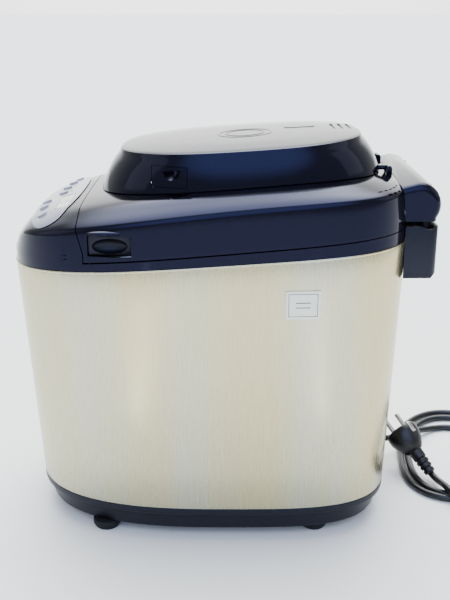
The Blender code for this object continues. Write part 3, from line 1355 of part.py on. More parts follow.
def make_cord():
    """Mains cord from the strain relief at the rear, looped behind the machine, with its moulded plug."""
    root, out = relief_place()
    wide, narrow, length = relief_radius(0), relief_radius(1), RELIEF_LENGTH
    profile = [(0, length), (narrow, length), (wide, 1 * MM), (wide, -3 * MM), (0, -3 * MM)]
    turned("cord_strain_relief", profile, "cord_vinyl", steps=16, place=root, axis=out)
    tube("power_cord", cord_points(), CORD_RADIUS, "cord_vinyl")
    axis = (PLUG_FACE - PLUG_TAIL).normalized()
    total = (PLUG_FACE - PLUG_TAIL).length
    profile = [
        (0, total), (17 * MM, total), (18 * MM, total - 1.5 * MM), (17.6 * MM, total - 9 * MM),
        (14.8 * MM, total - 19 * MM), (10.5 * MM, total - 26 * MM), (7.3 * MM, total - 28.5 * MM),
        (6.9 * MM, 15 * MM), (5.6 * MM, 0), (0, 0),
    ]
    turned("plug_body", profile, "cord_vinyl", steps=24, place=PLUG_TAIL, axis=axis)
    level = Vector((axis.y, -axis.x, 0)).normalized()
    for side, sign in (("left", -1), ("right", 1)):
        base = PLUG_FACE + level * sign * PIN_SPREAD / 2 + axis * GAP
        drum(f"plug_pin_{side}", 2.4 * MM, base, base + axis * PIN_LENGTH, "wire_steel", steps=12)


def main():
    """Build the machine."""
    make_body()
    frame = make_top_frame()
    make_panel(frame)
    make_chamber()
    make_pan()
    make_drive()
    lid = make_lid()
    make_main_hinge()
    make_dome(lid)
    make_label()
    make_cord()


main()
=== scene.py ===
"""Looks of a countertop bread machine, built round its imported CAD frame.

Metres, +Z up. The control console faces -Y, the hinges are at +Y and the label is on the +X side.
"""

import json
import logging
import math
from dataclasses import dataclass, field, replace
from enum import Enum
from typing import Callable, Optional, Sequence

import bmesh
import bpy
from mathutils import Matrix, Vector

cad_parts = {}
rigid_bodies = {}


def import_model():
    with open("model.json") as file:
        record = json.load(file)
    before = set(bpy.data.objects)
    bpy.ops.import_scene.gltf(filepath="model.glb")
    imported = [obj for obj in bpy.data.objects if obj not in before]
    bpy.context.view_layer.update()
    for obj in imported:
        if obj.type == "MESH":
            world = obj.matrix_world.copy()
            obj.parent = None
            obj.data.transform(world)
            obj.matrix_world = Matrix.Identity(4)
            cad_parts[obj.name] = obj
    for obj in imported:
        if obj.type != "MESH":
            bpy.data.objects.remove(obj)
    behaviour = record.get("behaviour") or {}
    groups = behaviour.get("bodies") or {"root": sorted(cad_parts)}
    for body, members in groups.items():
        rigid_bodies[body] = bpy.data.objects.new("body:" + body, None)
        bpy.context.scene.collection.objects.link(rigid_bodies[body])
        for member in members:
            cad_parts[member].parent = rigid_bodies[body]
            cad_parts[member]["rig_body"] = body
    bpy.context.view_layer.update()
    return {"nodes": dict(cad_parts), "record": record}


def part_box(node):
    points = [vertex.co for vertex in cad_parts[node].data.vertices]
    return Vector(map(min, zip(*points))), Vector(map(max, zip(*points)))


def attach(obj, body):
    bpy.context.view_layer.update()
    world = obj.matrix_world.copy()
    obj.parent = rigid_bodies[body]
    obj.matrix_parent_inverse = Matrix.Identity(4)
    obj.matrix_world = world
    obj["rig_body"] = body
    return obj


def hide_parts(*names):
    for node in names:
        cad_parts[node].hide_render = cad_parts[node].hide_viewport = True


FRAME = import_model()
LOG = logging.getLogger("bread_machine")

MM = 0.001
FINE = 192
"""Points round a large outline, close enough together to look round."""

Ring = Callable[[float], Vector]
Height = Callable[[float, float], float]


# -------------------------------------------------------------------------------- colour and nodes


def linear(code: str) -> tuple[float, float, float, float]:
    """Turn an sRGB hex colour into linear light.

    Args:
        code: six hex digits.

    Returns:
        Red, green, blue and an alpha of one.
    """
    parts = [int(code[i : i + 2], 16) / 255 for i in (0, 2, 4)]
    light = [c / 12.92 if c <= 0.04045 else ((c + 0.055) / 1.055) ** 2.4 for c in parts]
    return (light[0], light[1], light[2], 1.0)


def add_node(
    tree: bpy.types.NodeTree, kind: str, settings: Optional[dict] = None, links: Optional[dict] = None
) -> bpy.types.Node:
    """Add a node with its settings and links.

    Args:
        tree: the material's node tree.
        kind: the node's type name.
        settings: attributes by name, or input values by name or number.
        links: output sockets by the input that each goes to.

    Returns:
        The node.
    """
    made = tree.nodes.new(kind)
    for key, value in (settings or {}).items():
        if isinstance(key, str) and hasattr(made, key) and key not in made.inputs:
            setattr(made, key, value)
        else:
            made.inputs[key].default_value = value
    for key, socket in (links or {}).items():
        tree.links.new(socket, made.inputs[key])
    return made


# -------------------------------------------------------------------------------- finishes


@dataclass(frozen=True)
class Finish:
    """What every finish has: its colours, its gloss and the size of its grain."""

    name: str
    tone: str
    second_tone: str
    roughness: float
    grain: float = 0.5 * MM
    relief: float = 0.02 * MM
    metallic: float = 0.0
    ior: float = 1.5
    specular: float = 0.5
    coat: float = 0.0
    tint: str = "ffffff"

    def grain_field(self, tree: bpy.types.NodeTree) -> bpy.types.NodeSocket:
        """The pattern of the surface, from 0 to 1."""
        where = add_node(tree, "ShaderNodeTexCoord").outputs["Object"]
        settings = {"Scale": 1 / self.grain, "Detail": 3.0, "Roughness": 0.6}
        return add_node(tree, "ShaderNodeTexNoise", settings, {"Vector": where}).outputs["Fac"]

    def colour(self, tree: bpy.types.NodeTree) -> bpy.types.NodeSocket:
        """Colour of the surface: its two tones in soft patches about 30 mm across."""
        where = add_node(tree, "ShaderNodeTexCoord").outputs["Object"]
        patches = add_node(tree, "ShaderNodeTexNoise", {"Scale": 33.0, "Detail": 4.0}, {"Vector": where})
        return add_node(
            tree, "ShaderNodeMix",
            {"data_type": "RGBA", 6: linear(self.tone), 7: linear(self.second_tone)},
            {0: patches.outputs["Fac"]},
        ).outputs[2]

    def material(self) -> bpy.types.Material:
        """The finish's material, made once.

        Returns:
            A node material with colour, gloss and relief.
        """
        found = bpy.data.materials.get(self.name)
        if found:
            return found
        made = bpy.data.materials.new(self.name)
        made.use_nodes = True
        tree = made.node_tree
        shader = tree.nodes["Principled BSDF"]
        shader.inputs["Metallic"].default_value = self.metallic
        if not self.metallic:
            shader.inputs["IOR"].default_value = self.ior
            shader.inputs["Specular IOR Level"].default_value = self.specular
            shader.inputs["Specular Tint"].default_value = linear(self.tint)
        shader.inputs["Coat Weight"].default_value = self.coat
        shader.inputs["Coat Roughness"].default_value = 0.06
        grain = self.grain_field(tree)
        gloss = add_node(
            tree, "ShaderNodeMapRange",
            {"To Min": self.roughness * 0.82, "To Max": self.roughness * 1.18}, {"Value": grain},
        )
        tree.links.new(gloss.outputs["Result"], shader.inputs["Roughness"])
        tree.links.new(self.colour(tree), shader.inputs["Base Color"])
        bump = add_node(
            tree, "ShaderNodeBump", {"Strength": 0.6, "Distance": self.relief}, {"Height": grain}
        )
        tree.links.new(bump.outputs["Normal"], shader.inputs["Normal"])
        self.dress(shader)
        return made

    def dress(self, shader: bpy.types.Node) -> None:
        """Set what only this finish has."""


@dataclass(frozen=True)
class BrushedSteel(Finish):
    """Stainless sheet brushed upright: hairlines about 0.4 mm apart, drawn 0.9 mm apart so that they show."""

    # Width of the upright colour bands, which are partly painted reflection streaks.
    band: float = 62 * MM
    stretch: float = 0.012

    def grain_field(self, tree: bpy.types.NodeTree) -> bpy.types.NodeSocket:
        """Long upright hairlines."""
        where = add_node(tree, "ShaderNodeTexCoord").outputs["Object"]
        drawn = add_node(
            tree, "ShaderNodeMapping", {"Scale": (1.0, 1.0, self.stretch)}, {"Vector": where}
        ).outputs["Vector"]
        settings = {"Scale": 1 / self.grain, "Detail": 4.0, "Roughness": 0.7}
        return add_node(tree, "ShaderNodeTexNoise", settings, {"Vector": drawn}).outputs["Fac"]

    def colour(self, tree: bpy.types.NodeTree) -> bpy.types.NodeSocket:
        """Upright warm and cool bands under the hairlines: partly the metal's own tone, partly painted reflection
        streaks.
        """
        where = add_node(tree, "ShaderNodeTexCoord").outputs["Object"]
        drawn = add_node(
            tree, "ShaderNodeMapping", {"Location": (0.31, 0.07, 0.0), "Scale": (1.0, 1.0, 0.05)},
            {"Vector": where}
        ).outputs["Vector"]
        # Painted reflection streaks: upright noise bands that mix the two tones in the base colour.
        painted_streak_bands = add_node(
            tree, "ShaderNodeTexNoise", {"Scale": 1 / self.band, "Detail": 2.0}, {"Vector": drawn}
        )
        edge = add_node(
            tree, "ShaderNodeMapRange", {"From Min": 0.38, "From Max": 0.62}, {"Value": painted_streak_bands.outputs["Fac"]}
        )
        lines = self.grain_field(tree)
        base = add_node(
            tree, "ShaderNodeMix",
            {"data_type": "RGBA", 6: linear(self.tone), 7: linear(self.second_tone)},
            {0: edge.outputs["Result"]},
        ).outputs[2]
        dark = add_node(tree, "ShaderNodeMapRange", {"To Min": 0.80, "To Max": 1.10}, {"Value": lines})
        return add_node(
            tree, "ShaderNodeMix",
            {"data_type": "RGBA", "blend_type": "MULTIPLY", 0: 1.0}, {6: base, 7: dark.outputs["Result"]},
        ).outputs[2]

    def dress(self, shader: bpy.types.Node) -> None:
        """Hairlines spread reflections sideways."""
        shader.inputs["Anisotropic"].default_value = 0.2


@dataclass(frozen=True)
class CoatedPan(Finish):
    """Non-stick coating sprayed on pressed aluminium: dark grey with pale flecks about 1 mm apart."""

    def colour(self, tree: bpy.types.NodeTree) -> bpy.types.NodeSocket:
        """Pale flecks on dark grey."""
        where = add_node(tree, "ShaderNodeTexCoord").outputs["Object"]
        cells = add_node(tree, "ShaderNodeTexVoronoi", {"Scale": 800.0}, {"Vector": where})
        fleck = add_node(
            tree, "ShaderNodeMapRange", {"From Min": 0.12, "From Max": 0.20, "To Min": 1.0, "To Max": 0.0},
            {"Value": cells.outputs["Distance"]},
        )
        return add_node(
            tree, "ShaderNodeMix",
            {"data_type": "RGBA", 6: linear(self.tone), 7: linear(self.second_tone)},
            {0: fleck.outputs["Result"]},
        ).outputs[2]


@dataclass(frozen=True)
class CircuitBoard(Finish):
    """Glass-epoxy board under solder mask: copper tracks show as a lighter green grid about 5 mm apart."""

    def colour(self, tree: bpy.types.NodeTree) -> bpy.types.NodeSocket:
        """Tracks on green."""
        where = add_node(tree, "ShaderNodeTexCoord").outputs["Object"]
        tracks = add_node(
            tree, "ShaderNodeTexBrick",
            {"Scale": 60.0, "Mortar Size": 0.03, "Color1": linear(self.tone), "Color2": linear(self.tone),
             "Mortar": linear(self.second_tone)},
            {"Vector": where},
        )
        return tracks.outputs["Color"]


class Finishes(Enum):
    """Every finish of the machine, named for what the real one is."""

    SLEEVE = BrushedSteel(
        # 430 stainless sheet, brushed upright: warm grey with streaky reflections, partly painted into its colour
        #                                       as upright bands.
        "stainless_brushed_upright", "c6bd96", "c0bfa8", 0.27, grain=0.9 * MM, relief=0.012 * MM, metallic=1.0
    )
    GLOSS_BLACK = Finish(
        # ABS from a polished mould: near black, with a clear mirror image broken by a faint flow ripple.
        "abs_polished_black", "07060c", "09080f", 0.10, grain=9 * MM, relief=0.03 * MM, specular=0.22,
        tint="b4bdff"
    )
    SATIN_BLACK = Finish(
        # Polypropylene with a spark-eroded texture: soft black, grain 0.3 mm drawn at 0.7 mm.
        "polypropylene_satin_black", "070709", "0b0b0e", 0.40, grain=0.7 * MM, relief=0.03 * MM, specular=0.3,
        tint="d4dcff"
    )
    FILM = Finish(
        # Polyester overlay, printed silver grey from behind: smooth, with a fine pearl grain.
        "polyester_overlay_silver", "6a6c74", "787a82", 0.22, grain=0.6 * MM, relief=0.006 * MM, coat=0.4
    )
    BUTTON = Finish(
        # Painted ABS: silver paint with a fine flake.
        "abs_painted_silver", "8b8d94", "9c9ea4", 0.30, grain=0.35 * MM, relief=0.01 * MM, coat=0.3
    )
    PRINT = Finish(
        # Screen-printed ink: matt, near black with uneven cover.
        "screen_ink_dark", "17181c", "222328", 0.5, grain=0.4 * MM, relief=0.01 * MM
    )
    DISPLAY = Finish(
        # Acrylic lens over a liquid-crystal cell: grey green and glossy.
        "acrylic_over_display", "aeb5a6", "b8bfb0", 0.07, grain=3 * MM, relief=0.003 * MM, ior=1.49, coat=0.6
    )
    SHEET = BrushedSteel(
        # Aluminised steel as rolled: soft bright grey with faint rolling lines.
        "aluminised_steel_rolled", "b9bab8", "c8c8c4", 0.34, grain=1.6 * MM, relief=0.008 * MM, metallic=1.0,
        stretch=0.25
    )
    PAN = CoatedPan(
        "nonstick_coating_flecked", "26272a", "8b8d90", 0.38, grain=0.8 * MM, relief=0.03 * MM, coat=0.15
    )
    WIRE = BrushedSteel(
        # Drawn steel wire, nickel plated: bright, with fine marks from drawing.
        "steel_wire_nickel", "c9c8c4", "bdbcb8", 0.20, grain=0.8 * MM, relief=0.01 * MM, metallic=1.0
    )
    GREY_PLASTIC = Finish(
        # Glass-filled nylon: mid grey with a dull, slightly fibrous face.
        "nylon_filled_grey", "8a8c90", "95979b", 0.5, grain=0.9 * MM, relief=0.03 * MM
    )
    RUBBER = Finish(
        # Moulded nitrile rubber: dull black with a dusty bloom.
        "rubber_moulded_black", "0d0d0f", "17171a", 0.78, grain=0.8 * MM, relief=0.06 * MM, specular=0.3
    )
    BRASS = BrushedSteel(
        # Sintered bronze-brass bush: dull yellow with open pores.
        "brass_sintered", "c6a45c", "b08f4c", 0.38, grain=0.5 * MM, relief=0.03 * MM, metallic=1.0,
        stretch=1.0
    )
    BOARD = CircuitBoard("glass_epoxy_green", "1f5a34", "3d8a55", 0.4, grain=1.5 * MM, relief=0.01 * MM)
    LABEL = Finish(
        # Matt silver polyester sticker: pale, with a faint woven grain.
        "polyester_sticker_pale", "d9dccb", "e0e3d4", 0.42, grain=0.5 * MM, relief=0.006 * MM
    )
    SHEATH = Finish(
        # Soft PVC sheath and moulding: satin black with a slight orange peel 1.2 mm across.
        "pvc_satin_black", "070709", "0c0c0f", 0.33, grain=1.2 * MM, relief=0.05 * MM, specular=0.35
    )
    FLOOR = Finish("floor_pale", "e9e7dc", "edebe2", 0.55, grain=4 * MM, relief=0.01 * MM, specular=0.25)


FINISH_OF_SLOT = {
    "brushed_steel": Finishes.SLEEVE, "black_gloss": Finishes.GLOSS_BLACK, "black_plastic": Finishes.SATIN_BLACK,
    "panel_film": Finishes.FILM, "button": Finishes.BUTTON, "display_glass": Finishes.DISPLAY,
    "board_green": Finishes.BOARD, "oven_steel": Finishes.SHEET, "pan_coating": Finishes.PAN,
    "wire_steel": Finishes.WIRE, "grey_plastic": Finishes.GREY_PLASTIC, "rubber": Finishes.RUBBER,
    "brass": Finishes.BRASS, "label_film": Finishes.LABEL, "cord_vinyl": Finishes.SHEATH,
}


# -------------------------------------------------------------------------------- form


@dataclass(frozen=True)
class Outline:
    """A plan outline whose front and rear halves have their own reach and squareness."""

    half_width: float
    front: float
    rear: float
    middle: float
    front_power: float
    rear_power: float

    def inset(self, depth: float, ends: Optional[float] = None) -> "Outline":
        """The outline moved in by a depth at the sides, and by another at the ends if given."""
        ends = depth if ends is None else ends
        return replace(
            self, half_width=self.half_width - depth, front=self.front + ends, rear=self.rear - ends
        )

    def half(self, y: float) -> tuple[float, float]:
        """(reach, power) of the half that holds this y."""
        if y >= self.middle:
            return self.rear - self.middle, self.rear_power
        return self.middle - self.front, self.front_power

    def point(self, turn: float) -> tuple[float, float]:
        """(x, y) at a share of a turn round the outline."""
        across, along = math.cos(math.tau * turn), math.sin(math.tau * turn)
        reach, power = self.half(self.middle + along)
        x = self.half_width * math.copysign(abs(across) ** (2 / power), across)
        return x, self.middle + reach * math.copysign(abs(along) ** (2 / power), along)

    def ring(self, height: Height | float) -> Ring:
        """The outline in space.

        Args:
            height: a number, or a function of (x, y).

        Returns:
            A function from a share of a turn to a point.
        """

        def place(turn: float) -> Vector:
            x, y = self.point(turn)
            return Vector((x, y, height(x, y) if callable(height) else height))

        return place

    def outside(self, x: float, y: float) -> bool:
        """Whether a point lies outside the outline."""
        reach, power = self.half(y)
        return abs(x / self.half_width) ** power + abs((y - self.middle) / reach) ** power > 1

    def depth_at(self, x: float, y: float) -> float:
        """How far the outline must be moved in to pass through a point."""
        low, high = 0.0, self.half_width - 1 * MM
        for _ in range(30):
            depth = (low + high) / 2
            if self.inset(depth).outside(x, y):
                high = depth
            else:
                low = depth
        return low

    def reach_at(self, x: float) -> float:
        """The y of the rear edge at this x."""
        share = (1 - min(1, abs(x / self.half_width)) ** self.rear_power) ** (1 / self.rear_power)
        return self.middle + (self.rear - self.middle) * share

    def half_width_at(self, y: float) -> float:
        """The half width at this y."""
        reach, power = self.half(y)
        return self.half_width * (1 - min(1, abs((y - self.middle) / reach)) ** power) ** (1 / power)


def eased(steps: Sequence[tuple[float, float]], at: float) -> float:
    """A smooth line through (place, value) steps that never overshoots them.

    Args:
        steps: the steps in rising order of place.
        at: the place wanted.

    Returns:
        The value there.
    """
    if at <= steps[0][0]:
        return steps[0][1]
    if at >= steps[-1][0]:
        return steps[-1][1]
    rates = [(b[1] - a[1]) / (b[0] - a[0]) for a, b in zip(steps, steps[1:])]
    slopes = [rates[0]]
    slopes += [2 * p * q / (p + q) if p * q > 0 else 0.0 for p, q in zip(rates, rates[1:])]
    slopes.append(rates[-1])
    for i, (near, far) in enumerate(zip(steps, steps[1:])):
        if at <= far[0]:
            span = far[0] - near[0]
            t = (at - near[0]) / span
            return (
                near[1] * (1 + 2 * t) * (1 - t) ** 2 + far[1] * t * t * (3 - 2 * t)
                + span * (slopes[i] * t * (1 - t) ** 2 - slopes[i + 1] * t * t * (1 - t))
            )
    return steps[-1][1]


@dataclass(frozen=True)
class BodyForm:
    """Sizes of the machine's body, and the heights of its edges and roofs."""

    width: float = 254 * MM
    depth: float = 388.6 * MM
    hinge_depth: float = 23.8 * MM
    middle: float = 5 * MM
    sleeve_foot: float = 34.9 * MM
    axis_y: float = 17 * MM
    roof_steps: tuple = ((4.5 * MM, 0.0), (9 * MM, 0.24), (17 * MM, 0.55), (31 * MM, 1.0), (60 * MM, 1.2),
                         (127 * MM, 1.3))
    crown_steps: tuple = (
        (0.0, -2.5 * MM), (1.5 * MM, 0.88 * MM), (5 * MM, 1.85 * MM), (16 * MM, 2.73 * MM), (40 * MM, 3.87 * MM),
        (89 * MM, 4.4 * MM),
    )

    @property
    def top(self) -> Outline:
        """Plan of the body at its rim."""
        rear = self.depth / 2 - self.hinge_depth
        return Outline(self.width / 2, -self.depth / 2, rear, self.middle, 3.13, 4.08)

    @property
    def foot(self) -> Outline:
        """Plan of the body at its foot."""
        top = self.top
        return Outline(
            self.width / 2 - 8.3 * MM, top.front + 10.7 * MM, top.rear - 6.4 * MM, self.middle, 2.62, 3.51
        )

    @property
    def dome(self) -> Outline:
        """Plan of the domed lid at its lower edge."""
        return Outline(97 * MM, -114.5 * MM, 150 * MM, 18 * MM, 2.4, 2.6)

    @property
    def crease(self) -> Outline:
        """Plan of the domed lid's upper edge."""
        return self.dome.inset(7.5 * MM, 19 * MM)

    def sleeve_top(self, x: float, y: float) -> float:
        """Height of the sleeve's sloping rim."""
        return 274.7 * MM + 0.0685 * y

    def seam(self, x: float, y: float) -> float:
        """Height of the seam under the main lid."""
        return 283.9 * MM + 0.084 * y

    def shoulder(self, y: float) -> float:
        """Height of the edge where the side turns into the roof."""
        nose = max(0.0, self.top.front + 28 * MM - y)
        return 320 * MM + 0.107 * y - 0.22 * y * y - 20 * nose * nose

    def rise(self, y: float) -> float:
        """How far the roof climbs above the shoulder."""
        return 13.2 * MM - 0.18 * (y + 30 * MM) ** 2

    def roof_at(self, depth: float, y: float) -> float:
        """Height of the roof at an inset and a y."""
        return self.shoulder(y) + self.rise(y) * eased(self.roof_steps, depth)

    def roof(self, x: float, y: float) -> float:
        """Height of the roof over a point."""
        return self.roof_at(self.top.depth_at(x, y), y)

    def roof_normal(self, x: float, y: float) -> Vector:
        """The roof's upward normal at a point."""
        reach = 4 * MM
        slope_x = (self.roof(x + reach, y) - self.roof(x - reach, y)) / (2 * reach)
        slope_y = (self.roof(x, y + reach) - self.roof(x, y - reach)) / (2 * reach)
        return Vector((-slope_x, -slope_y, 1)).normalized()

    def crease_height(self, x: float, y: float) -> float:
        """Height of the domed lid's upper edge."""
        return 363.4 * MM + 0.0635 * y

    def crown(self, x: float, y: float) -> float:
        """Height of the domed lid's top over a point."""
        return self.crease_height(x, y) + eased(self.crown_steps, self.crease.depth_at(x, y))

    def side_frame(self, y: float, z: float) -> tuple[Vector, Vector, Vector]:
        """(point, outward normal, direction up the wall) on the sleeve's right side."""
        height = self.sleeve_top(0, y) - self.sleeve_foot
        low, high = self.foot.half_width_at(y), self.top.half_width_at(y)
        x = low + (high - low) * (z - self.sleeve_foot) / height
        up = Vector((high - low, 0, height)).normalized()
        step = 5 * MM
        change = self.top.half_width_at(y + step) - self.top.half_width_at(y - step)
        along = Vector((change, 2 * step, 0)).normalized()
        return Vector((x, y, z)), along.cross(up).normalized(), up


FORM = BodyForm()


# -------------------------------------------------------------------------------- mesh tools


class Skin:
    """A mesh drawn ring by ring: it starts from a circle, and each next ring is extruded from the last."""

    def __init__(self, first: Ring, count: int = FINE) -> None:
        """Start from a ring.

        Args:
            first: the first ring.
            count: points round it.
        """
        self.mesh = bmesh.new()
        self.place = self.mesh.verts.layers.int.new("place")
        self.count = count
        made = bmesh.ops.create_circle(self.mesh, segments=count, radius=1.0)
        for vert in made["verts"]:
            turn = math.atan2(vert.co.y, vert.co.x) / math.tau
            vert[self.place] = round(turn * count) % count
        self.edges = list(self.mesh.edges)
        self.first = list(self.edges)
        self._move(made["verts"], first)

    def _move(self, verts: Sequence[bmesh.types.BMVert], ring: Ring) -> None:
        """Put vertices on a ring."""
        for vert in verts:
            vert.co = ring(vert[self.place] / self.count)

    def to(self, *rings: Ring) -> "Skin":
        """Extrude on to the next rings in turn."""
        for ring in rings:
            made = bmesh.ops.extrude_edge_only(self.mesh, edges=self.edges)["geom"]
            verts = {e for e in made if isinstance(e, bmesh.types.BMVert)}
            self.edges = [e for e in made if isinstance(e, bmesh.types.BMEdge) and set(e.verts) <= verts]
            self._move(list(verts), ring)
        return self

    def point(self, centre: Sequence[float]) -> "Skin":
        """Close the last ring on a point."""
        made = bmesh.ops.extrude_edge_only(self.mesh, edges=self.edges)["geom"]
        verts = [e for e in made if isinstance(e, bmesh.types.BMVert)]
        bmesh.ops.pointmerge(self.mesh, verts=verts, merge_co=Vector(centre))
        self.edges = []
        return self

    def fill_first(self) -> "Skin":
        """Close the first ring with one face."""
        bmesh.ops.edgeloop_fill(self.mesh, edges=self.first)
        return self

    def fill_last(self) -> "Skin":
        """Close the last ring with one face."""
        bmesh.ops.edgeloop_fill(self.mesh, edges=self.edges)
        return self

    def join(self) -> "Skin":
        """Bridge the last ring to the first, as round a wall."""
        bmesh.ops.bridge_loops(self.mesh, edges=self.first + self.edges)
        return self


def smooth_by_angle(mesh: bpy.types.Mesh, degrees: float = 32.0) -> None:
    """Shade smooth, and keep edges over this angle crisp."""
    mesh.shade_smooth()
    mesh.set_sharp_from_angle(angle=math.radians(degrees))


def solid(name: str, source: Skin | bmesh.types.BMesh, degrees: float = 32.0) -> bpy.types.Object:
    """Turn a bmesh into an object at the origin, with its faces pointing out.

    Args:
        name: the object's name.
        source: the skin or bmesh, which is used up.
        degrees: the angle over which edges stay crisp.

    Returns:
        The object.
    """
    made = source.mesh if isinstance(source, Skin) else source
    bmesh.ops.remove_doubles(made, verts=made.verts, dist=1e-6)
    bmesh.ops.recalc_face_normals(made, faces=made.faces)
    mesh = bpy.data.meshes.new(name)
    made.to_mesh(mesh)
    made.free()
    smooth_by_angle(mesh, degrees)
    obj = bpy.data.objects.new(name, mesh)
    bpy.context.scene.collection.objects.link(obj)
    return obj


def apply_modifiers(obj: bpy.types.Object) -> None:
    """Make the object's evaluated mesh its own."""
    bpy.context.view_layer.update()
    graph = bpy.context.evaluated_depsgraph_get()
    mesh = bpy.data.meshes.new_from_object(obj.evaluated_get(graph))
    old = obj.data
    obj.modifiers.clear()
    obj.data = mesh
    bpy.data.meshes.remove(old)


def carve(
    target: bpy.types.Object, others: Sequence[bpy.types.Object], operation: str = "DIFFERENCE",
    degrees: float = 32.0
) -> bpy.types.Object:
    """Cut, join or intersect an object with others, which are then removed.

    Args:
        target: the object to change.
        others: the cutters or joiners.
        operation: the Boolean's operation.
        degrees: the angle over which edges stay crisp.

    Returns:
        The target.
    """
    for other in others:
        step = target.modifiers.new(other.name, "BOOLEAN")
        step.operation = operation
        step.object = other
        step.solver = "EXACT"
    apply_modifiers(target)
    for other in others:
        bpy.data.objects.remove(other)
    smooth_by_angle(target.data, degrees)
    return target


def block(
    low: Sequence[float], high: Sequence[float], round_by: float = 0.0, name: str = "block", segments: int = 3
) -> bpy.types.Object:
    """A block between two corners, with rounded edges if asked."""
    mesh = bmesh.new()
    bmesh.ops.create_cube(mesh, size=1.0)
    bmesh.ops.scale(mesh, vec=Vector(high) - Vector(low), verts=mesh.verts)
    bmesh.ops.translate(mesh, vec=(Vector(high) + Vector(low)) / 2, verts=mesh.verts)
    if round_by:
        bmesh.ops.bevel(
            mesh, geom=mesh.edges, offset=round_by, segments=segments, profile=0.5, affect="EDGES",
            material=-1,
            clamp_overlap=True,
        )
    return solid(name, mesh)


def turned(
    name: str, profile: Sequence[tuple[float, float]], place: Sequence[float] = (0, 0, 0),
    axis: Sequence[float] = (0, 0, 1), steps: int = 48, degrees: float = 32.0
) -> bpy.types.Object:
    """A turned piece: (radius, height) points spun about an axis.

    Args:
        name: the object's name.
        profile: points that start and end on the axis.
        place: where the profile's zero height is.
        axis: direction of the axis.
        steps: steps in the full turn.
        degrees: the angle over which edges stay crisp.

    Returns:
        The object.
    """
    mesh = bmesh.new()
    verts = [mesh.verts.new((radius, 0, height)) for radius, height in profile]
    edges = [mesh.edges.new(pair) for pair in zip(verts, verts[1:])]
    bmesh.ops.spin(
        mesh, geom=verts + edges, cent=(0, 0, 0), axis=(0, 0, 1), angle=math.tau, steps=steps, use_merge=True
    )
    bmesh.ops.remove_doubles(mesh, verts=mesh.verts, dist=1e-6)
    turn = Vector(axis).to_track_quat("Z", "Y").to_matrix().to_4x4()
    bmesh.ops.transform(mesh, matrix=Matrix.Translation(place) @ turn, verts=mesh.verts)
    return solid(name, mesh, degrees)


def rod(low: Sequence[float], high: Sequence[float], radius: float, name: str = "rod") -> bpy.types.Object:
    """A round bar between two points."""
    along = Vector(high) - Vector(low)
    length = along.length
    return turned(name, [(0, 0), (radius, 0), (radius, length), (0, length)], low, along, 32)


def moved(obj: bpy.types.Object, matrix: Matrix) -> bpy.types.Object:
    """Move an object's mesh, and leave the object at the origin."""
    obj.data.transform(matrix)
    return obj


def slab(
    name: str, line: Sequence[tuple[float, float]], low: float, high: float
) -> bpy.types.Object:
    """A flat outline of (y, z) points given width along X.

    Args:
        name: the object's name.
        line: the outline in order.
        low: its lowest X.
        high: its highest X.

    Returns:
        The object.
    """
    mesh = bmesh.new()
    face = mesh.faces.new([mesh.verts.new((low, y, z)) for y, z in line])
    made = bmesh.ops.extrude_face_region(mesh, geom=[face])["geom"]
    verts = [e for e in made if isinstance(e, bmesh.types.BMVert)]
    bmesh.ops.translate(mesh, vec=(high - low, 0, 0), verts=verts)
    return solid(name, mesh)


def patch(
    name: str, shape: Callable[[float], tuple[float, float]], centre: tuple[float, float], height: Height,
    low: float, high: float, count: int = 64, rings: int = 6
) -> bpy.types.Object:
    """A thin plate that lies on a curved roof.

    Args:
        name: the object's name.
        shape: (x, y) from the centre at a share of a turn.
        centre: its middle in plan.
        height: the roof's height at (x, y).
        low: height of its underside over the roof.
        high: height of its face over the roof.
        count: points round it.
        rings: rings between its edge and its middle.

    Returns:
        The object.
    """

    def ring(share: float, lift: float) -> Ring:
        def place(turn: float) -> Vector:
            dx, dy = shape(turn)
            x, y = centre[0] + dx * share, centre[1] + dy * share
            return Vector((x, y, height(x, y) + lift))

        return place

    middle = Vector((*centre, height(*centre)))
    shares = [i / rings for i in range(1, rings)]
    skin = Skin(ring(shares[0], low), count)
    skin.to(*[ring(share, low) for share in shares[1:]], ring(1 - 0.02, low))
    soft = (high - low) * 0.35
    skin.to(ring(1, low + soft), ring(1, high - soft), ring(1 - 0.02, high))
    skin.to(*[ring(share, high) for share in reversed(shares)]).point(middle + Vector((0, 0, high)))
    return solid(name, skin.fill_first())


def squarish(half_width: float, half_depth: float, power: float) -> Callable[[float], tuple[float, float]]:
    """A squarish oval: a share of a turn to (x, y)."""

    def shape(turn: float) -> tuple[float, float]:
        across, along = math.cos(math.tau * turn), math.sin(math.tau * turn)
        return (
            half_width * math.copysign(abs(across) ** (2 / power), across),
            half_depth * math.copysign(abs(along) ** (2 / power), along),
        )

    return shape


def settle(
    obj: bpy.types.Object, body: str, slot: str, finish: Optional[Finishes] = None,
    stands_for: Sequence[str] = ()
) -> bpy.types.Object:
    """Dress a finished piece, put it on its body and report it.

    Args:
        obj: the piece.
        body: the CAD body that it rides on.
        slot: the record's material slot.
        finish: its finish, when that isn't the slot's own.
        stands_for: CAD nodes that it replaces.

    Returns:
        The piece.
    """
    chosen = finish or FINISH_OF_SLOT[slot]
    obj.data.materials.clear()
    obj.data.materials.append(chosen.value.material())
    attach(obj, body)
    if stands_for:
        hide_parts(*stands_for)
    LOG.info("%s rides on %s in %s", obj.name, body, chosen.value.name)
    return obj


def merged(name: str, pieces: Sequence[bpy.types.Object]) -> bpy.types.Object:
    """Join several meshes into one object."""
    mesh = bmesh.new()
    for piece in pieces:
        mesh.from_mesh(piece.data)
        bpy.data.objects.remove(piece)
    return solid(name, mesh)


def listed(points: Sequence[Sequence[float]]) -> Ring:
    """A ring that runs through listed points, one for each of its places."""
    count = len(points)
    return lambda turn: Vector(points[round(turn * count) % count])


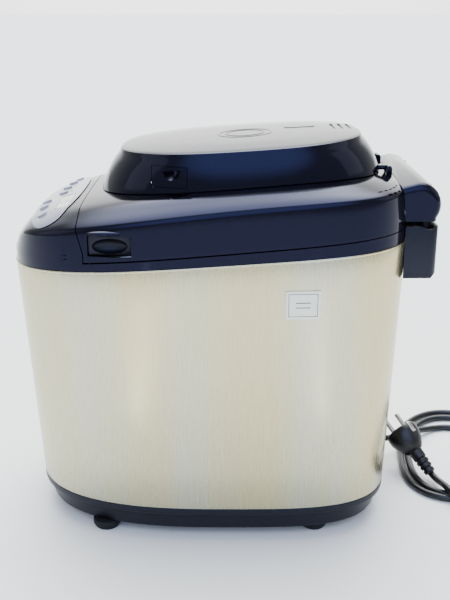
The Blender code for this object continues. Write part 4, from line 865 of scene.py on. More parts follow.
def ball(
    radii: Sequence[float], place: Sequence[float], name: str = "ball", flat_top: bool = False
) -> bpy.types.Object:
    """A stretched ball, or its lower half.

    Args:
        radii: half sizes along X, Y and Z.
        place: its middle.
        name: the object's name.
        flat_top: whether all above its middle is cut away.

    Returns:
        The object.
    """
    mesh = bmesh.new()
    bmesh.ops.create_uvsphere(mesh, u_segments=48, v_segments=24, radius=1.0)
    bmesh.ops.scale(mesh, vec=Vector(radii), verts=mesh.verts)
    if flat_top:
        cut = bmesh.ops.bisect_plane(
            mesh, geom=mesh.verts[:] + mesh.edges[:] + mesh.faces[:], plane_co=(0, 0, 0), plane_no=(0, 0, 1),
            clear_outer=True,
        )["geom_cut"]
        bmesh.ops.edgeloop_fill(mesh, edges=[e for e in cut if isinstance(e, bmesh.types.BMEdge)])
    bmesh.ops.translate(mesh, vec=Vector(place), verts=mesh.verts)
    return solid(name, mesh)


# -------------------------------------------------------------------------------- shared top form


@dataclass(frozen=True)
class TopForm:
    """The black top of the machine as one block, from which the frame and the main lid are cut."""

    wall: float = 2.4 * MM
    lid_gap: float = 0.9 * MM
    gap: float = 0.3 * MM
    console_depth: float = 69.5 * MM
    edge_start: tuple[float, float] = (2.6 * MM, -4.5 * MM)
    edge_corner: tuple[float, float] = (2.89 * MM, -0.93 * MM)
    edge_end: float = 5.6 * MM
    depths: tuple = (7, 9, 11.5, 15, 19, 24, 30, 38, 48, 60, 76, 96, 112)

    def skin(self, bottom: Height | float, grow: float = 0.0, lift: float = 0.0) -> Skin:
        """The block's skin.

        Args:
            bottom: height of its underside.
            grow: how far it is moved out.
            lift: how far its roof is moved up.

        Returns:
            A closed skin.
        """
        top, form = FORM.top, FORM

        def roof_ring(depth: float) -> Ring:
            return top.inset(depth - grow).ring(lambda x, y: form.roof_at(depth, y) + lift)

        skin = Skin(top.inset(0.5 * MM - grow).ring(bottom))
        skin.to(top.inset(0.5 * MM - grow).ring(lambda x, y: form.seam(x, y) + 5 * MM))
        for step in range(5):
            t = step / 5

            def edge_ring(turn: float, t: float = t) -> Vector:
                x, y = top.inset(0).point(turn)
                end = form.roof_at(self.edge_end, y) - form.shoulder(y)
                start, middle, last = (1 - t) ** 2, 2 * t * (1 - t), t * t
                depth = start * self.edge_start[0] + middle * self.edge_corner[0] + last * self.edge_end
                rise = start * self.edge_start[1] + middle * self.edge_corner[1] + last * end
                px, py = top.inset(depth - grow).point(turn)
                return Vector((px, py, form.shoulder(py) + rise + lift))

            skin.to(edge_ring)
        skin.to(roof_ring(self.edge_end), *[roof_ring(depth * MM) for depth in self.depths])
        middle_y = form.middle
        skin.point((0, middle_y, form.shoulder(middle_y) + form.rise(middle_y) * 1.3 + lift))
        return skin.fill_first()

    def line(self, gap: float) -> list[tuple[float, float]]:
        """The slanting joint between console and lid, as (y, z) points from bottom to top."""
        back = FORM.top.front + self.console_depth + gap
        return [(back + 6 * MM, 200 * MM), (back + 6 * MM, 282 * MM), (back, 303 * MM), (back, 450 * MM)]

    def region(self, gap: float, edge_y: float) -> bpy.types.Object:
        """All that lies between the joint and an edge in front of it or behind it."""
        line = self.line(gap)
        return slab("region", [*line, (edge_y, line[-1][1]), (edge_y, line[0][1])], -0.25, 0.25)


TOP_FORM = TopForm()


# -------------------------------------------------------------------------------- body


@dataclass
class BodyShell:
    """Brushed sleeve, base tray, feet and sticker."""

    wall: float = 1.0 * MM
    lip: float = 0.7 * MM
    gap: float = 0.3 * MM
    tray_foot: float = 9.5 * MM
    foot_radius: float = 13.5 * MM
    label_size: tuple[float, float] = (30.5 * MM, 26 * MM)

    def build(self) -> None:
        """Build and dress every piece."""
        settle(self.sleeve(), "base", "brushed_steel", stands_for=["steel_sleeve"])
        settle(self.tray(), "base", "black_plastic", stands_for=["base_tray"])
        for end in ("front", "rear"):
            for side in ("left", "right"):
                node = f"foot_{end}_{side}"
                settle(self.foot(node), "base", "rubber", stands_for=[node])
        settle(self.label(), "base", "label_film", stands_for=["side_label"])
        settle(self.label_frame(), "base", "label_film", Finishes.PRINT)

    def sleeve(self) -> bpy.types.Object:
        """The sleeve: one wrapped sheet, with its upper rim rolled to a bright bead."""
        top, foot, low = FORM.top, FORM.foot, FORM.sleeve_foot

        def wall_ring(share: float, inset: float, lift: float = 0.0) -> Ring:
            def place(turn: float) -> Vector:
                a = foot.inset(inset).ring(low)(turn)
                b = top.inset(inset).ring(FORM.sleeve_top)(turn)
                return a.lerp(b, share) + Vector((0, 0, lift))

            return place

        skin = Skin(wall_ring(0, 0.25 * MM), 288)
        skin.to(wall_ring(0.0, 0.0, 0.5 * MM))
        skin.to(*[wall_ring(i / 6, 0.0) for i in range(1, 6)])
        bead = ((0.0, -2.6), (0.15, -2.2), (-0.25, -1.6), (-0.45, -0.9), (-0.1, -0.15), (0.5, 0.0))
        skin.to(*[wall_ring(1, inset * MM, lift * MM) for inset, lift in bead])
        skin.to(wall_ring(1, self.wall, -0.3 * MM), wall_ring(0, self.wall)).join()
        return solid("sleeve_skin", skin, 50)

    def tray(self) -> bpy.types.Object:
        """The base tray, with the strain relief's hole."""
        foot, rim = FORM.foot, FORM.sleeve_foot - self.gap
        low = self.tray_foot
        skin = Skin(foot.inset(10 * MM).ring(low), 160)
        skin.to(
            foot.inset(8.3 * MM).ring(low + 0.6 * MM), foot.inset(7 * MM).ring(low + 3 * MM),
            foot.inset(5.5 * MM).ring(rim - 7 * MM), foot.inset(0.6 * MM).ring(rim - 6.3 * MM),
            foot.inset(0.1 * MM).ring(rim - 5.8 * MM), foot.ring(rim - 5 * MM), foot.ring(rim - 0.6 * MM),
            foot.inset(0.5 * MM).ring(rim), foot.inset(1.8 * MM).ring(rim),
            foot.inset(1.8 * MM).ring(rim + 7 * MM),
            foot.inset(4.2 * MM).ring(rim + 7 * MM), foot.inset(7.9 * MM).ring(rim - 7 * MM),
            foot.inset(12.4 * MM).ring(low + 3 * MM),
        )
        skin.point((0, FORM.middle, low + 3 * MM)).fill_first()
        made = solid("base_tray_skin", skin)
        root, out = LEAD.relief_place()
        return carve(made, [rod(root - out * 12 * MM, root + out * 12 * MM, 6.7 * MM)])

    def foot(self, node: str) -> bpy.types.Object:
        """A rubber foot with a rounded edge and a shallow ring in its tread."""
        low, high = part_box(node)
        r, top = self.foot_radius, high.z
        profile = [
            (0, 0.5 * MM), (r - 6.5 * MM, 0.5 * MM), (r - 6 * MM, 0), (r - 3.2 * MM, 0),
            (r - 2.2 * MM, 0.4 * MM),
            (r - 0.4 * MM, 3.2 * MM), (r, 4.2 * MM), (r, top - 0.5 * MM), (r - 0.5 * MM, top), (0, top),
        ]
        return turned(f"{node}_pad", profile, ((low.x + high.x) / 2, (low.y + high.y) / 2, 0))

    def label_matrix(self, lift: float) -> Matrix:
        """Where the sticker lies on the sleeve's right side."""
        place, out, up = FORM.side_frame(FORM.axis_y + 53.5 * MM, 239.5 * MM)
        turn = Matrix((up.cross(out), up, out)).transposed().to_4x4()
        return Matrix.Translation(place + out * lift) @ turn

    def label(self) -> bpy.types.Object:
        """The blank sticker."""
        w, h = self.label_size
        made = block((-w / 2, -h / 2, 0), (w / 2, h / 2, 0.25 * MM), 0.08 * MM, "side_sticker", 2)
        return moved(made, self.label_matrix(0.9 * MM))

    def label_frame(self) -> bpy.types.Object:
        """A plain printed border with two short rules in it."""
        w, h = self.label_size[0] - 5 * MM, self.label_size[1] - 5 * MM
        thin, high = 0.5 * MM, 0.05 * MM
        bars = [
            ((-w / 2, h / 2 - thin), (w / 2, h / 2)), ((-w / 2, -h / 2), (w / 2, -h / 2 + thin)),
            ((-w / 2, -h / 2), (-w / 2 + thin, h / 2)), ((w / 2 - thin, -h / 2), (w / 2, h / 2)),
            ((-w / 4, 1.8 * MM), (w / 4, 2.6 * MM)), ((-w / 4, -2.6 * MM), (w / 4, -1.8 * MM)),
        ]
        made = merged("side_sticker_print", [block((*a, 0), (*b, high)) for a, b in bars])
        return moved(made, self.label_matrix(1.16 * MM))


@dataclass
class TopFrame:
    """Collar, deck and console, cut from the machine's top."""

    louvre: tuple[float, float] = (6 * MM, 1.6 * MM)
    button_hole: float = 5.0 * MM

    def build(self) -> None:
        """Build and dress the frame."""
        settle(self.frame(), "base", "black_gloss", stands_for=["top_frame"])

    def frame(self) -> bpy.types.Object:
        """The frame, with its hollow, window, louvres and button holes."""
        form, top, wall = TOP_FORM, FORM.top, TOP_FORM.wall
        made = solid("console_and_collar", form.skin(lambda x, y: FORM.sleeve_top(x, y) + form.gap))
        line = form.line(0)
        back = top.front + form.console_depth
        space = slab(
            "lid_space",
            [(line[1][0], FORM.seam(0, back)), *line[1:], (0.25, 450 * MM), (0.25, FORM.seam(0, 0.25))],
            -0.25, 0.25
        )
        deck = -wall - 0.6 * MM
        under = top.inset(wall + 0.5 * MM)
        hollow = Skin(under.ring(200 * MM), 96).to(under.ring(lambda x, y: FORM.seam(x, y) + deck))
        hollow.fill_first().point((0, FORM.middle, FORM.seam(0, FORM.middle) + deck))
        carve(made, [space, solid("frame_hollow", hollow)])
        inside = solid("console_hollow", form.skin(210 * MM, -wall, -wall))
        carve(inside, [form.region(-wall, -0.25)], "INTERSECT")
        carve(made, [inside])
        low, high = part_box("oven_chamber")
        mouth = squarish((high.x - low.x) / 2 - 5 * MM, (high.y - low.y) / 2 - 5 * MM, 4.2)

        def mouth_ring(z: float) -> Ring:
            return lambda turn: Vector((mouth(turn)[0], mouth(turn)[1] + FORM.axis_y, z))

        chute = Skin(mouth_ring(240 * MM), 96).to(mouth_ring(330 * MM)).fill_first().fill_last()
        cutters = [solid("frame_mouth", chute)]
        cutters.append(block((22 * MM, -147 * MM, 250 * MM), (64 * MM, -139.5 * MM, 350 * MM)))
        carve(made, cutters)
        slots = []
        half, tall = self.louvre[0] / 2, self.louvre[1] / 2
        for row in range(2):
            for column in range(2):
                y = top.front + (49.8 + 8.5 * column) * MM
                z = (279.5 - 3.6 * row + 0.7 * column) * MM
                slots.append(block((110 * MM, y - half, z - tall), (135 * MM, y + half, z + tall), 0.7 * MM))
        for x, y in Console.places():
            up = FORM.roof_normal(x, y)
            place = Vector((x, y, FORM.roof(x, y)))
            slots.append(rod(place - up * 6 * MM, place + up * 5 * MM, self.button_hole))
        return carve(made, slots)


@dataclass
class Console:
    """Overlay, display and buttons on the console's roof."""

    skin: float = 0.3 * MM
    film: float = 0.8 * MM
    wall: float = 2.4 * MM
    radius: float = 4.6 * MM
    window: tuple[float, float, float, float] = (20 * MM, 66 * MM, -149 * MM, -137.5 * MM)
    digits: tuple = ("abcdg", "abged", "abcdef")

    @staticmethod
    def places() -> list[tuple[float, float]]:
        """(x, y) of each button, in the order of their names."""
        spots = ((64, -161), (43, -163), (22, -164), (0, -152), (-24, -152), (-48, -150), (-72, -147))
        return [(x * MM, y * MM) for x, y in spots]

    def build(self) -> None:
        """Build and dress every piece."""
        settle(self.overlay(), "base", "panel_film", stands_for=["panel_membrane"])
        x0, x1, y0, y1 = self.window
        glass = patch(
            "display_lens", squarish((x1 - x0) / 2, (y1 - y0) / 2, 9), ((x0 + x1) / 2, (y0 + y1) / 2),
            FORM.roof,
            self.skin, self.skin + self.film, 64, 4
        )
        settle(glass, "base", "display_glass", stands_for=["display_window"])
        settle(self.segments(), "base", "display_glass", Finishes.PRINT)
        settle(self.legends(), "base", "panel_film", Finishes.PRINT)
        names = ("start", "stop", "menu", "size", "crust", "timer_up", "timer_down")
        for name, (x, y) in zip(names, self.places()):
            node = f"button_{name}"
            settle(self.button(node, x, y), node, "button", stands_for=[node])

    def overlay(self) -> bpy.types.Object:
        """The printed overlay, with its window and button holes."""
        made = patch(
            "overlay_film", squarish(92 * MM, 22 * MM, 2.5), (0, -153 * MM), FORM.roof, self.skin,
            self.skin + self.film, 128, 8
        )
        x0, x1, y0, y1 = self.window
        cutters = [block((x0 - 0.3 * MM, y0 - 0.3 * MM, 0.25), (x1 + 0.3 * MM, y1 + 0.3 * MM, 0.36))]
        for x, y in self.places():
            up = FORM.roof_normal(x, y)
            place = Vector((x, y, FORM.roof(x, y)))
            cutters.append(rod(place - up * 5 * MM, place + up * 5 * MM, self.radius + 0.35 * MM))
        return carve(made, cutters)

    def mark(self, x: float, y: float, half_x: float, half_y: float) -> bpy.types.Object:
        """One printed bar on the console's roof."""
        lift = self.skin + self.film
        low, high = lift + 0.02 * MM, lift + 0.07 * MM
        return patch("mark", squarish(half_x, half_y, 6), (x, y), FORM.roof, low, high, 16, 2)

    def segments(self) -> bpy.types.Object:
        """Three figures and a colon in the display."""
        x0, x1, y0, y1 = self.window
        middle_y = (y0 + y1) / 2
        arm, reach, thin = 1.7 * MM, 1.85 * MM, 0.28 * MM
        spots = {
            "a": (0, 2 * reach, 1), "g": (0, 0, 1), "d": (0, -2 * reach, 1), "b": (arm, reach, 0),
            "c": (arm, -reach, 0), "e": (-arm, -reach, 0), "f": (-arm, reach, 0),
        }
        bars = []
        for figure, x in zip(self.digits, (x0 + 12 * MM, x0 + 23 * MM, x0 + 30 * MM)):
            for key in figure:
                dx, dy, flat = spots[key]
                size = (arm * 0.8, thin) if flat else (thin, reach * 0.8)
                bars.append(self.mark(x + dx, middle_y + dy, *size))
        for dy in (-1.4 * MM, 1.4 * MM):
            bars.append(self.mark(x0 + 17.5 * MM, middle_y + dy, 0.4 * MM, 0.4 * MM))
        return merged("display_figures", bars)

    def legends(self) -> bpy.types.Object:
        """Short printed rules behind the buttons."""
        bars = []
        for index, (x, y) in enumerate(self.places()):
            away = -1 if index < 3 else 1
            bars.append(self.mark(x, y + away * 6.6 * MM, 3.2 * MM, 0.35 * MM))
            if index < 3:
                continue
            bars.append(self.mark(x, y + 7.9 * MM, 2.0 * MM, 0.35 * MM))
        return merged("overlay_print", bars)

    def button(self, node: str, x: float, y: float) -> bpy.types.Object:
        """A cap with a dished face and a flange under the roof."""
        top = self.skin + self.film + 1.6 * MM
        flange = -(self.wall + 1.5 * MM)
        r = self.radius
        profile = [
            (0, top - 0.45 * MM), (1.6 * MM, top - 0.4 * MM), (2.9 * MM, top - 0.22 * MM), (3.7 * MM, top),
            (4.1 * MM, top - 0.03 * MM), (4.45 * MM, top - 0.3 * MM), (r, top - 0.8 * MM), (r, flange),
            (r + 1.4 * MM, flange), (r + 1.4 * MM, flange - 1.2 * MM), (0, flange - 1.2 * MM),
        ]
        place = Vector((x, y, FORM.roof(x, y)))
        return turned(f"{node}_cap", profile, place, FORM.roof_normal(x, y), 40)


# -------------------------------------------------------------------------------- lids


@dataclass
class MainLid:
    """Main lid: shell with its vents, side grips, hinge cover and the posts that hold the domed lid."""

    grip_y: tuple[float, float] = (-114 * MM, -76 * MM)
    grip_z: tuple[float, float] = (281 * MM, 299 * MM)
    hinge: tuple[float, float] = (184.5 * MM, 306.5 * MM)
    dome_hinge: tuple[float, float] = (153.6 * MM, 341.8 * MM)
    hump_half: float = 83 * MM
    hump_round: float = 7 * MM
    hump_radius: float = 20.5 * MM
    ear_x: float = 66 * MM

    def build(self) -> None:
        """Build and dress every piece."""
        settle(self.shell(), "lid", "black_gloss", stands_for=["lid_shell"])
        for side, sign in (("left", -1), ("right", 1)):
            node = f"lid_grip_{side}"
            settle(self.grip(node, sign), "lid", "black_plastic", stands_for=[node])
            settle(self.visor(side, sign), "lid", "black_gloss")
        settle(self.cover(), "lid", "black_gloss", stands_for=["lid_hinge_cover"])
        settle(self.posts(), "lid", "black_gloss")

    def shell(self) -> bpy.types.Object:
        """The shell: outer form, hollow, opening under the domed lid, grip pockets, dips and vents."""
        form, wall, gap = TOP_FORM, TOP_FORM.wall, TOP_FORM.lid_gap
        made = solid("lid_shell_skin", form.skin(lambda x, y: FORM.seam(x, y) + gap))
        carve(made, [form.region(gap, 0.25)], "INTERSECT")
        inside = solid("lid_hollow", form.skin(lambda x, y: FORM.seam(x, y) - 9 * MM, -wall, -wall))
        carve(inside, [form.region(gap + wall, 0.25)], "INTERSECT")
        carve(made, [inside])
        well = FORM.dome.inset(9.2 * MM)
        chute = Skin(well.ring(0.25), 128).to(well.ring(0.42)).fill_first().fill_last()
        cutters = [solid("dome_well", chute)]
        reach = FORM.top.half_width_at(sum(self.grip_y) / 2)
        for sign in (-1, 1):
            ends = sorted((sign * (reach - 16 * MM), sign * (reach + 10 * MM)))
            low, high = zip(ends, self.grip_y, self.grip_z)
            cutters.append(block(low, high))
        carve(made, cutters)
        dips = []
        for sign in (-1, 1):
            x, y = sign * 94 * MM, -41 * MM
            dips.append(ball((7 * MM, 14 * MM, 2.2 * MM), (x, y, FORM.roof(x, y) + 0.6 * MM)))
        return carve(made, dips + self.vents())

    def vents(self) -> list[bpy.types.Object]:
        """Cutters for the slots in both rear corners of the roof, in two rows."""
        slots = []
        rows = ((4.8 * MM, (0.135, 0.15, 0.165, 0.18, 0.195)), (10 * MM, (0.125, 0.14, 0.155, 0.17, 0.185)))
        for depth, turns in rows:
            for turn in turns:
                for mirrored in (turn, 0.5 - turn):
                    line = FORM.top.inset(depth)
                    x, y = line.point(mirrored)
                    ahead = Vector(line.point(mirrored + 0.004)) - Vector((x, y))
                    along = Vector((ahead.x, ahead.y, 0)).normalized()
                    up = FORM.roof_normal(x, y)
                    along = (along - up * along.dot(up)).normalized()
                    across = up.cross(along)
                    turn_to = Matrix((along, across, up)).transposed().to_4x4()
                    slot = block((-2.6 * MM, -0.8 * MM, -5 * MM), (2.6 * MM, 0.8 * MM, 5 * MM), 0.6 * MM)
                    slots.append(moved(slot, Matrix.Translation((x, y, FORM.roof(x, y))) @ turn_to))
        return slots

    def grip(self, node: str, sign: int) -> bpy.types.Object:
        """A side grip: a moulded cup with a rounded hollow for the fingertip."""
        low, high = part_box(node)
        made = block(low, high, 0.6 * MM, f"{node}_cup")
        face = max(abs(low.x), abs(high.x))
        middle = (sign * (face + 1 * MM), (low.y + high.y) / 2, (low.z + high.z) / 2 - 1 * MM)
        return carve(made, [ball((6.5 * MM, 15.5 * MM, 7 * MM), middle)])

    def visor(self, side: str, sign: int) -> bpy.types.Object:
        """The lip that overhangs a side grip."""
        y = -97.5 * MM
        x = FORM.top.half_width_at(y) - 2.6 * MM
        made = ball((4.4 * MM, 16 * MM, 2.4 * MM), (sign * x, y, 301.3 * MM), f"lid_grip_lip_{side}")
        return made

    def hump_ring(self, x: float, inset: float, foot: float) -> list[tuple[float, float, float]]:
        """The hinge cover's side outline at a station across the machine."""
        radius = self.hump_radius - inset
        middle_y, middle_z = FORM.depth / 2 - self.hump_radius, self.hinge[1] + 10 * MM
        front = FORM.top.rear - 12 * MM
        line = [(x, front, foot), (x, front, middle_z + 16.9 * MM - inset)]
        for step in range(18):
            angle = math.radians(92 - 7.4 * step)
            line.append((x, middle_y + radius * math.cos(angle), middle_z + radius * math.sin(angle)))
        line.append((x, middle_y + radius * math.cos(math.radians(34)) + 0.1 * MM, foot))
        return line

    def hump(self, name: str, inset: float, foot: float) -> bpy.types.Object:
        """The hinge cover's block with rounded ends."""
        stations = []
        for step in range(7):
            angle = math.pi / 2 * step / 6
            stations.append((
                self.hump_half - inset - self.hump_round * (1 - math.sin(angle)),
                self.hump_round * (1 - math.cos(angle)),
            ))
        stations = [(-x, depth) for x, depth in reversed(stations)] + stations
        rings = [listed(self.hump_ring(x, inset + depth, foot)) for x, depth in stations]
        skin = Skin(rings[0], 21).to(*rings[1:]).fill_first().fill_last()
        return solid(name, skin, 40)

    def cover(self) -> bpy.types.Object:
        """The hinge cover, hollow, with a lug over each hinge ear."""
        foot = self.hinge[1] - 3.5 * MM
        made = self.hump("hinge_cover_skin", 0.0, foot)
        body = solid("body_clearance", TOP_FORM.skin(0.22, TOP_FORM.gap, TOP_FORM.gap))
        carve(made, [body, self.hump("hump_hollow", TOP_FORM.wall, foot - 5 * MM)], degrees=40)
        notches = []
        for sign in (-1, 1):
            ends = sorted((sign * (self.ear_x - 2.7 * MM), sign * (self.ear_x + 2.7 * MM)))
            low = (ends[0], self.hinge[0] + 2 * MM, foot - 1 * MM)
            notches.append(block(low, (ends[1], FORM.depth / 2 + 2 * MM, self.hinge[1] + 2 * MM)))
        return carve(made, notches, degrees=40)

    def leaf(
        self, low: float, width: float, centre: tuple[float, float], radius: float, foot: float
    ) -> bpy.types.Object:
        """A hinge leaf: flat along X, round about its hinge line, and reaching to a foot."""
        y, z = centre
        side = 1 if foot > z else -1
        line = [(y + radius, foot), (y - radius, foot)]
        for step in range(17):
            angle = math.pi * (1 + step / 16)
            line.append((y + radius * math.cos(angle), z + side * radius * math.sin(angle)))
        return slab("leaf", line, low, low + width)

    def posts(self) -> bpy.types.Object:
        """Posts on the roof that hold the domed lid's stubs, and lugs under the hinge cover."""
        y, z = self.dome_hinge
        radius = 2.7 * MM
        leaves = []
        for sign in (-1, 1):
            x = sign * 32 * MM
            for start in (x - 6.4 * MM, x + 3.4 * MM):
                foot = FORM.roof(x, y + radius) - 1.2 * MM
                leaves.append(self.leaf(start, 3 * MM, (y, z), radius, foot))
            lug = sign * (self.ear_x - 5 * MM) - 2 * MM
            leaves.append(self.leaf(lug, 4 * MM, self.hinge, 3.2 * MM, self.hinge[1] + 26 * MM))
        return merged("lid_hinge_leaves", leaves)


@dataclass
class DomedLid:
    """Domed second lid: shell, side grips, ring emblem and blank plate."""

    wall: float = 2.2 * MM
    grip_low: tuple[float, float, float] = (70 * MM, -61 * MM, 334 * MM)
    grip_high: tuple[float, float, float] = (110 * MM, -29 * MM, 352 * MM)
    lip_z: float = 349.4 * MM
    crown_depths: tuple = (0.35, 0.8, 1.5, 2.4, 3.6, 5, 7.5, 11, 16, 22, 29, 38, 50, 64, 78)

    def build(self) -> None:
        """Build and dress every piece."""
        settle(self.shell(), "dome", "black_gloss", stands_for=["dome_shell"])
        for side, sign in (("left", -1), ("right", 1)):
            node = f"dome_grip_{side}"
            settle(self.grip(node, sign), "dome", "black_gloss", stands_for=[node])
            settle(self.lip(side, sign), "dome", "black_gloss")
        settle(self.emblem(), "dome", "black_gloss")
        settle(self.plate(), "dome", "black_gloss")

    def skin(self, offset: float, foot: Height) -> Skin:
        """The dome's skin, moved in by an offset, down to a foot."""
        dome, crease, form = FORM.dome, FORM.crease, FORM

        def waist_height(x: float, y: float) -> float:
            return (foot(x, y) + form.crease_height(x, y)) / 2 + 1 * MM

        low = dome.inset(offset).ring(foot)
        waist = dome.inset(7.5 * MM * 0.35 + offset, 19 * MM * 0.42 + offset).ring(waist_height)
        high = crease.inset(offset).ring(lambda x, y: form.crease_height(x, y) - 2.5 * MM - offset)

        def wall_ring(share: float) -> Ring:
            def place(turn: float) -> Vector:
                a, b, c = low(turn), waist(turn), high(turn)
                pull = 2 * b - (a + c) / 2
                return a * (1 - share) ** 2 + pull * 2 * share * (1 - share) + c * share * share

            return place

        def crown_ring(depth: float) -> Ring:
            rise = eased(form.crown_steps, depth) - offset
            return crease.inset(depth + offset).ring(lambda x, y: form.crease_height(x, y) + rise)

        skin = Skin(low).to(*[wall_ring(step / 8) for step in range(1, 9)])
        skin.to(*[crown_ring(depth * MM) for depth in self.crown_depths])
        middle = form.dome.middle
        skin.point((0, middle, form.crease_height(0, middle) + 4.4 * MM - offset))
        return skin.fill_first()

    def under(self, x: float, y: float) -> float:
        """Height that the dome is first built down to."""
        return FORM.roof(x, y) - 4 * MM

    def grip_block(self, sign: int, margin: float) -> bpy.types.Object:
        """The block that a side grip fills, made larger by a margin."""
        ends = sorted((sign * (self.grip_low[0] - margin), sign * (self.grip_high[0] + margin)))
        return block(
            (ends[0], self.grip_low[1] - margin, self.grip_low[2] - margin),
            (ends[1], self.grip_high[1] + margin, self.grip_high[2] + margin),
        )

    def shell(self) -> bpy.types.Object:
        """The shell, with its hollow, grip openings and vent slots."""
        made = solid("dome_shell_skin", self.skin(0.0, self.under))
        hollow = solid("dome_hollow", self.skin(self.wall, lambda x, y: FORM.roof(x, y) - 6 * MM))
        roof = solid("roof_clearance", TOP_FORM.skin(0.25, 0.0, TOP_FORM.lid_gap))
        carve(made, [hollow, roof, self.grip_block(-1, 0), self.grip_block(1, 0)])
        slots = []
        for step in range(4):
            y = (106 + 7.5 * step) * MM
            z = FORM.crown(-15 * MM, y)
            low, high = (-33 * MM, y - 1.4 * MM, z - 1.7 * MM), (3 * MM, y + 1.4 * MM, z + 4 * MM)
            slots.append(block(low, high, 1.2 * MM))
        carve(made, slots)
        return made

    def grip(self, node: str, sign: int) -> bpy.types.Object:
        """A side grip: an insert with a half-moon hollow under its lip."""
        made = solid(f"{node}_insert", self.skin(0.25 * MM, self.under))
        back = solid("grip_back", self.skin(11 * MM, self.under))
        carve(made, [self.grip_block(sign, -0.35 * MM)], "INTERSECT")
        scoop = ball((27 * MM, 13.6 * MM, 13.6 * MM), (sign * 107 * MM, -45 * MM, self.lip_z), flat_top=True)
        return carve(made, [back, scoop])

    def lip(self, side: str, sign: int) -> bpy.types.Object:
        """The bright-edged lip over the half-moon hollow."""
        made = solid(f"dome_grip_lip_{side}", self.skin(-1.3 * MM, self.under))
        low, high = sorted((sign * 84 * MM, sign * 110 * MM))
        bar = block((low, -60.4 * MM, self.lip_z - 0.2 * MM), (high, -29.6 * MM, self.lip_z + 1.9 * MM))
        return carve(made, [bar], "INTERSECT")

    def emblem(self) -> bpy.types.Object:
        """Two plain raised rings on the crown."""
        y = 22 * MM
        rings = []
        for radius, thick in ((25 * MM, 0.9 * MM), (18 * MM, 0.7 * MM)):
            skin = None
            section = ((-1, -0.3), (-0.8, 0.25), (0, 0.4), (0.8, 0.25), (1, -0.3))
            for dr, lift in [(thick * across, up * MM) for across, up in section]:
                def place(turn: float, dr: float = dr, lift: float = lift, radius: float = radius) -> Vector:
                    px = (radius + dr) * math.cos(math.tau * turn)
                    py = y + (radius + dr) * math.sin(math.tau * turn)
                    return Vector((px, py, FORM.crown(px, py) + lift))

                skin = Skin(place, 96) if skin is None else skin.to(place)
            rings.append(solid("ring", skin.join()))
        return merged("dome_emblem_rings", rings)

    def plate(self) -> bpy.types.Object:
        """A blank raised plate on the crown."""
        return patch(
            "dome_blank_plate", squarish(14 * MM, 15 * MM, 10), (-30 * MM, 75 * MM), FORM.crown,
            -0.2 * MM, 0.45 * MM,
            64, 4
        )


@dataclass
class DomeHinge:
    """Tabs and stub pins at the domed lid's rear."""

    y: float = 153.6 * MM
    z: float = 341.8 * MM
    radius: float = 2.7 * MM

    def build(self) -> None:
        """Build and dress the tabs."""
        parts = []
        for sign in (-1, 1):
            x = sign * 32 * MM
            root = FORM.dome.inset(2.2 * MM).reach_at(x)
            low, high = (x - 3 * MM, root - 1 * MM, self.z - 1.5 * MM), (x + 3 * MM, self.y, self.z + 2.7 * MM)
            parts.append(block(low, high, 0.3 * MM))
            parts.append(rod((x - 3 * MM, self.y, self.z), (x + 3 * MM, self.y, self.z), self.radius))
            parts.append(rod((x - 6 * MM, self.y, self.z), (x + 6 * MM, self.y, self.z), 1.3 * MM))
        settle(merged("dome_hinge_tabs", parts), "dome", "black_gloss")


# -------------------------------------------------------------------------------- mains lead


